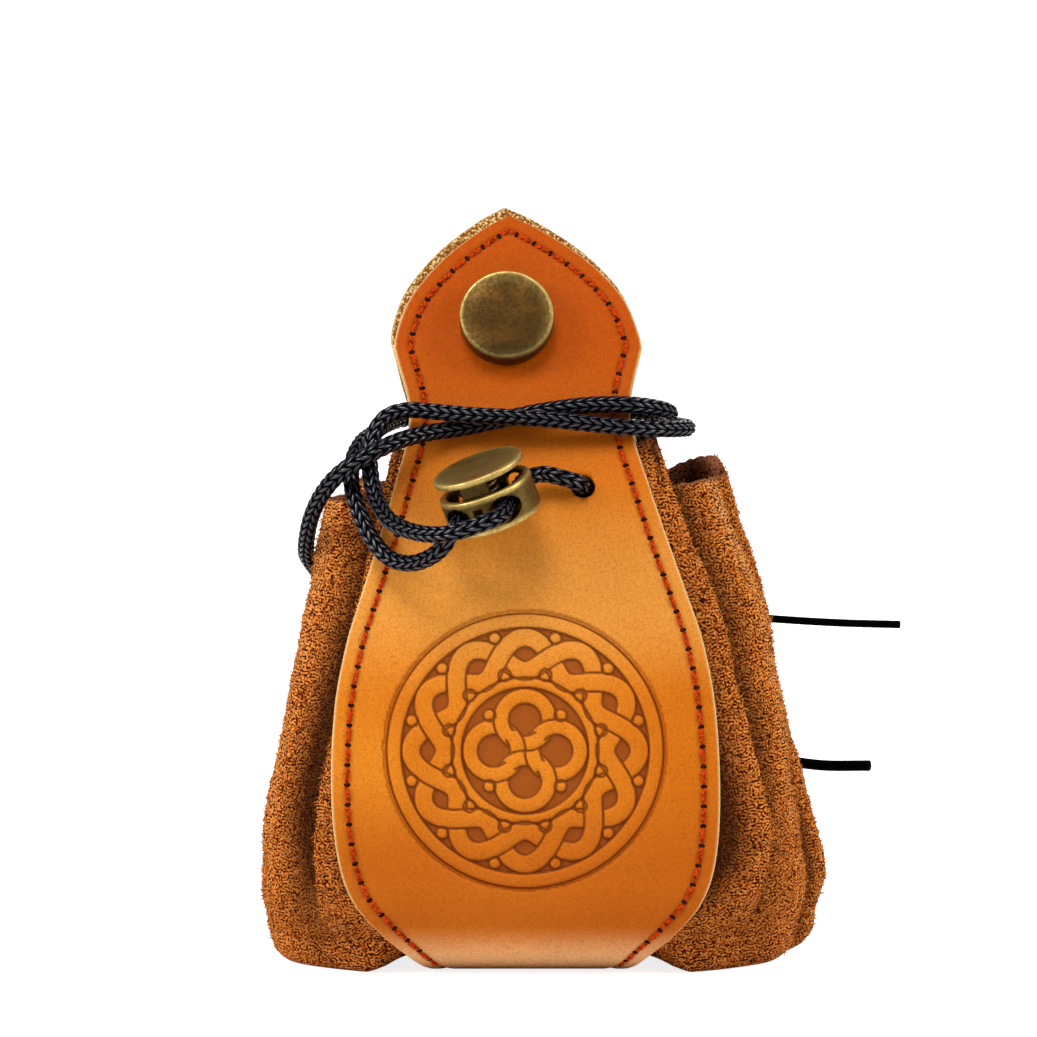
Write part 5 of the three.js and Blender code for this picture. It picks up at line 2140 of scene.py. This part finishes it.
@dataclass
class CordLock:
    """Sprung cord lock: a cup with two ways for the cord, and a button that slides along its axis."""

    place: Point = (-8.6, -25.3, 75.7)
    axis: Point = (-0.337, -0.175, 0.923)
    cord_way: Point = (-0.207, -0.945, -0.253)
    radius: float = 7.5
    height: float = 6.2
    wall: float = 1.2
    floor: float = 1.1
    hole_offset: float = 3.9
    hole_wide: float = 4.6
    hole_tall: float = 4.2
    cap_thick: float = 1.1
    travel: float = 1.9
    spring_radius: float = 1.9
    spring_wire: float = 0.32
    spring_turns: float = 3.5
    spring_height: float = 3.6
    leg: tuple[float, float, float] = (0.9, 4.4, 4.2)
    leg_place: float = 5.2
    notch: tuple[float, float, float] = (0.75, -0.15, 1.55)

    @cached_property
    def seat(self) -> Seat:
        """Where the lock stands on its cords.

        Returns:
            Its seat.
        """
        up = unit(np.array(self.axis))
        across = unit(np.cross(np.array(self.cord_way), up))
        return Seat(np.array(self.place), across, np.cross(up, across), up)

    def build(self) -> list[bpy.types.Object]:
        """Makes the cup and the button.

        Returns:
            The pieces, which sit on the cord.
        """
        cup, button = self.cup(), self.button()
        settle(cup, Body.BAG, ["cord_lock_body"])
        settle(button, Body.BUTTON, ["cord_lock_button"])
        return [cup, button]

    def oval(self, x: float, wide: float, tall: float, z: float) -> Array:
        """Outline of a way across the lock, in its own frame."""
        turn = np.linspace(0, 2 * np.pi, 40, endpoint=False)
        return np.column_stack([x + wide / 2 * np.cos(turn), np.zeros(40), z + tall / 2 * np.sin(turn)])

    def cup(self) -> bpy.types.Object:
        """Cup with its two ways for the cord and the notch in its front.

        Returns:
            The cup.
        """
        low, high = -self.height / 2, self.height / 2
        inner = self.radius - self.wall
        rows = [
            (0.02, low, 0.2), (self.radius - 1.2, low, 0.3),
            *bead(self.radius, low, -0.6, inner=True, wear_and_painted_light=0.9),
            (self.radius, low + 1.2, 0.1), (self.radius, high - 1.0, 0.1), *bead(self.radius, high, 0.35),
            (inner + 0.35, high, 1.0), (inner + 0.1, high - 0.1, 0.8), (inner, high - 0.35, 0.0),
            # Painted shade on the inner wall and floor of the cup.
            (inner, high - 0.9, -0.7), (inner, low + self.floor, -1.0), (0.02, low + self.floor, -1.0),
        ]
        cup = turned("lock_cup", rows, self.seat, 0.2)
        cutters = []
        for sign in (-1, 1):
            outline = self.oval(sign * self.hole_offset, self.hole_wide, self.hole_tall, 0.1)
            cutters.append(prism("cord_way", self.seat.put(outline), self.seat.way, 10.0, {"edge": 0.9}))
        wide, notch_low, notch_high = self.notch
        corners = [(-wide, notch_low), (wide, notch_low), (wide, notch_high), (-wide, notch_high)]
        outline = self.seat.put(np.array([(x, self.radius, z) for x, z in corners]))
        cutters.append(prism("notch", outline, self.seat.way, 3.0, {"edge": 0.9}))
        carve(cup, cutters)
        cup.data.set_sharp_from_angle(angle=math.radians(40))
        return cup

    def button(self) -> bpy.types.Object:
        """Button with its cap, two legs and the spring below it, in one piece.

        Returns:
            The button.
        """
        cap_low = self.height / 2 + self.travel + 0.3
        cap_high = cap_low + self.cap_thick
        rim = self.radius - 0.1
        rows = [
            # Painted shade under the cap.
            (0.02, cap_low, -0.6), (rim - 0.6, cap_low, 0.0), *bead(rim, cap_low, -0.3, inner=True, wear_and_painted_light=0.6),
            *bead(rim, cap_high - 0.05, 0.3), (rim - 0.6, cap_high - 0.02, 0.7), (rim - 1.4, cap_high, 0.45),
            (rim - 3.5, cap_high + 0.03, 0.4), (0.02, cap_high + 0.05, 0.35),
        ]
        cap = turned("lock_button", rows, self.seat, 0.0)
        parts = [cap, self.spring(cap_low), *(self.leg_plate(sign, cap_low) for sign in (-1, 1))]
        with bpy.context.temp_override(active_object=cap, selected_editable_objects=parts):
            bpy.ops.object.join()
        return cap

    @staticmethod
    def shaded_marks(points: Array, wear_and_painted_light: float) -> dict[str, Array]:
        """Marks of patinated brass with a little wear and painted shade, for every point."""
        values = {"edge": wear_and_painted_light, "aged": 1.0, "painted_brass_shade": 0.6}
        return {mark: np.full(len(points), value) for mark, value in values.items()}

    def spring(self, top: float) -> bpy.types.Object:
        """Coil under the cap, short enough to move with it.

        Args:
            top: height of the cap's underside, in mm.

        Returns:
            The coil.
        """
        turn = np.linspace(0, 2 * np.pi * self.spring_turns, 90)
        height = np.linspace(top - self.spring_height, top + 0.1, len(turn))
        line = np.column_stack([polar(self.spring_radius, turn), height])
        points, faces = closed_rings(self.seat.put(tube_rings(line, self.spring_wire, 8)))
        return make_object("spring", points, faces, BRASS.material(), self.shaded_marks(points, 0.3))

    def leg_plate(self, sign: int, top: float) -> bpy.types.Object:
        """One leg of the button, beside the cords.

        Args:
            sign: -1 for the leg at the back, 1 for the one in front.
            top: height of the cap's underside, in mm.

        Returns:
            The leg.
        """
        thick, wide, tall = self.leg
        y = sign * self.leg_place
        near, far = y - thick / 2, y + thick / 2
        low = top - tall
        rows = []
        for reach, z in ((wide / 2 - 0.3, low), (wide / 2, low + 0.4), (wide / 2, top + 0.1)):
            rows.append([(-reach, near, z), (reach, near, z), (reach, far, z), (-reach, far, z)])
        points, faces = closed_rings(self.seat.put(np.array(rows)))
        return make_object("leg", points, faces, BRASS.material(), self.shaded_marks(points, 0.1), 30.0)


def main() -> None:
    """Builds the bag's pieces in order."""
    logging.basicConfig(level=logging.INFO, format="%(message)s")
    Studio().build()
    lock = CordLock()
    on_cord = lock.build()
    Drawstring().build(on_cord)
    strap = StrapShape()
    LeatherStrap(strap).build()
    Stitching(strap).build()
    SuedePouch(strap).build()
    SnapFastener(strap).build()


if __name__ == "__main__":
    main()
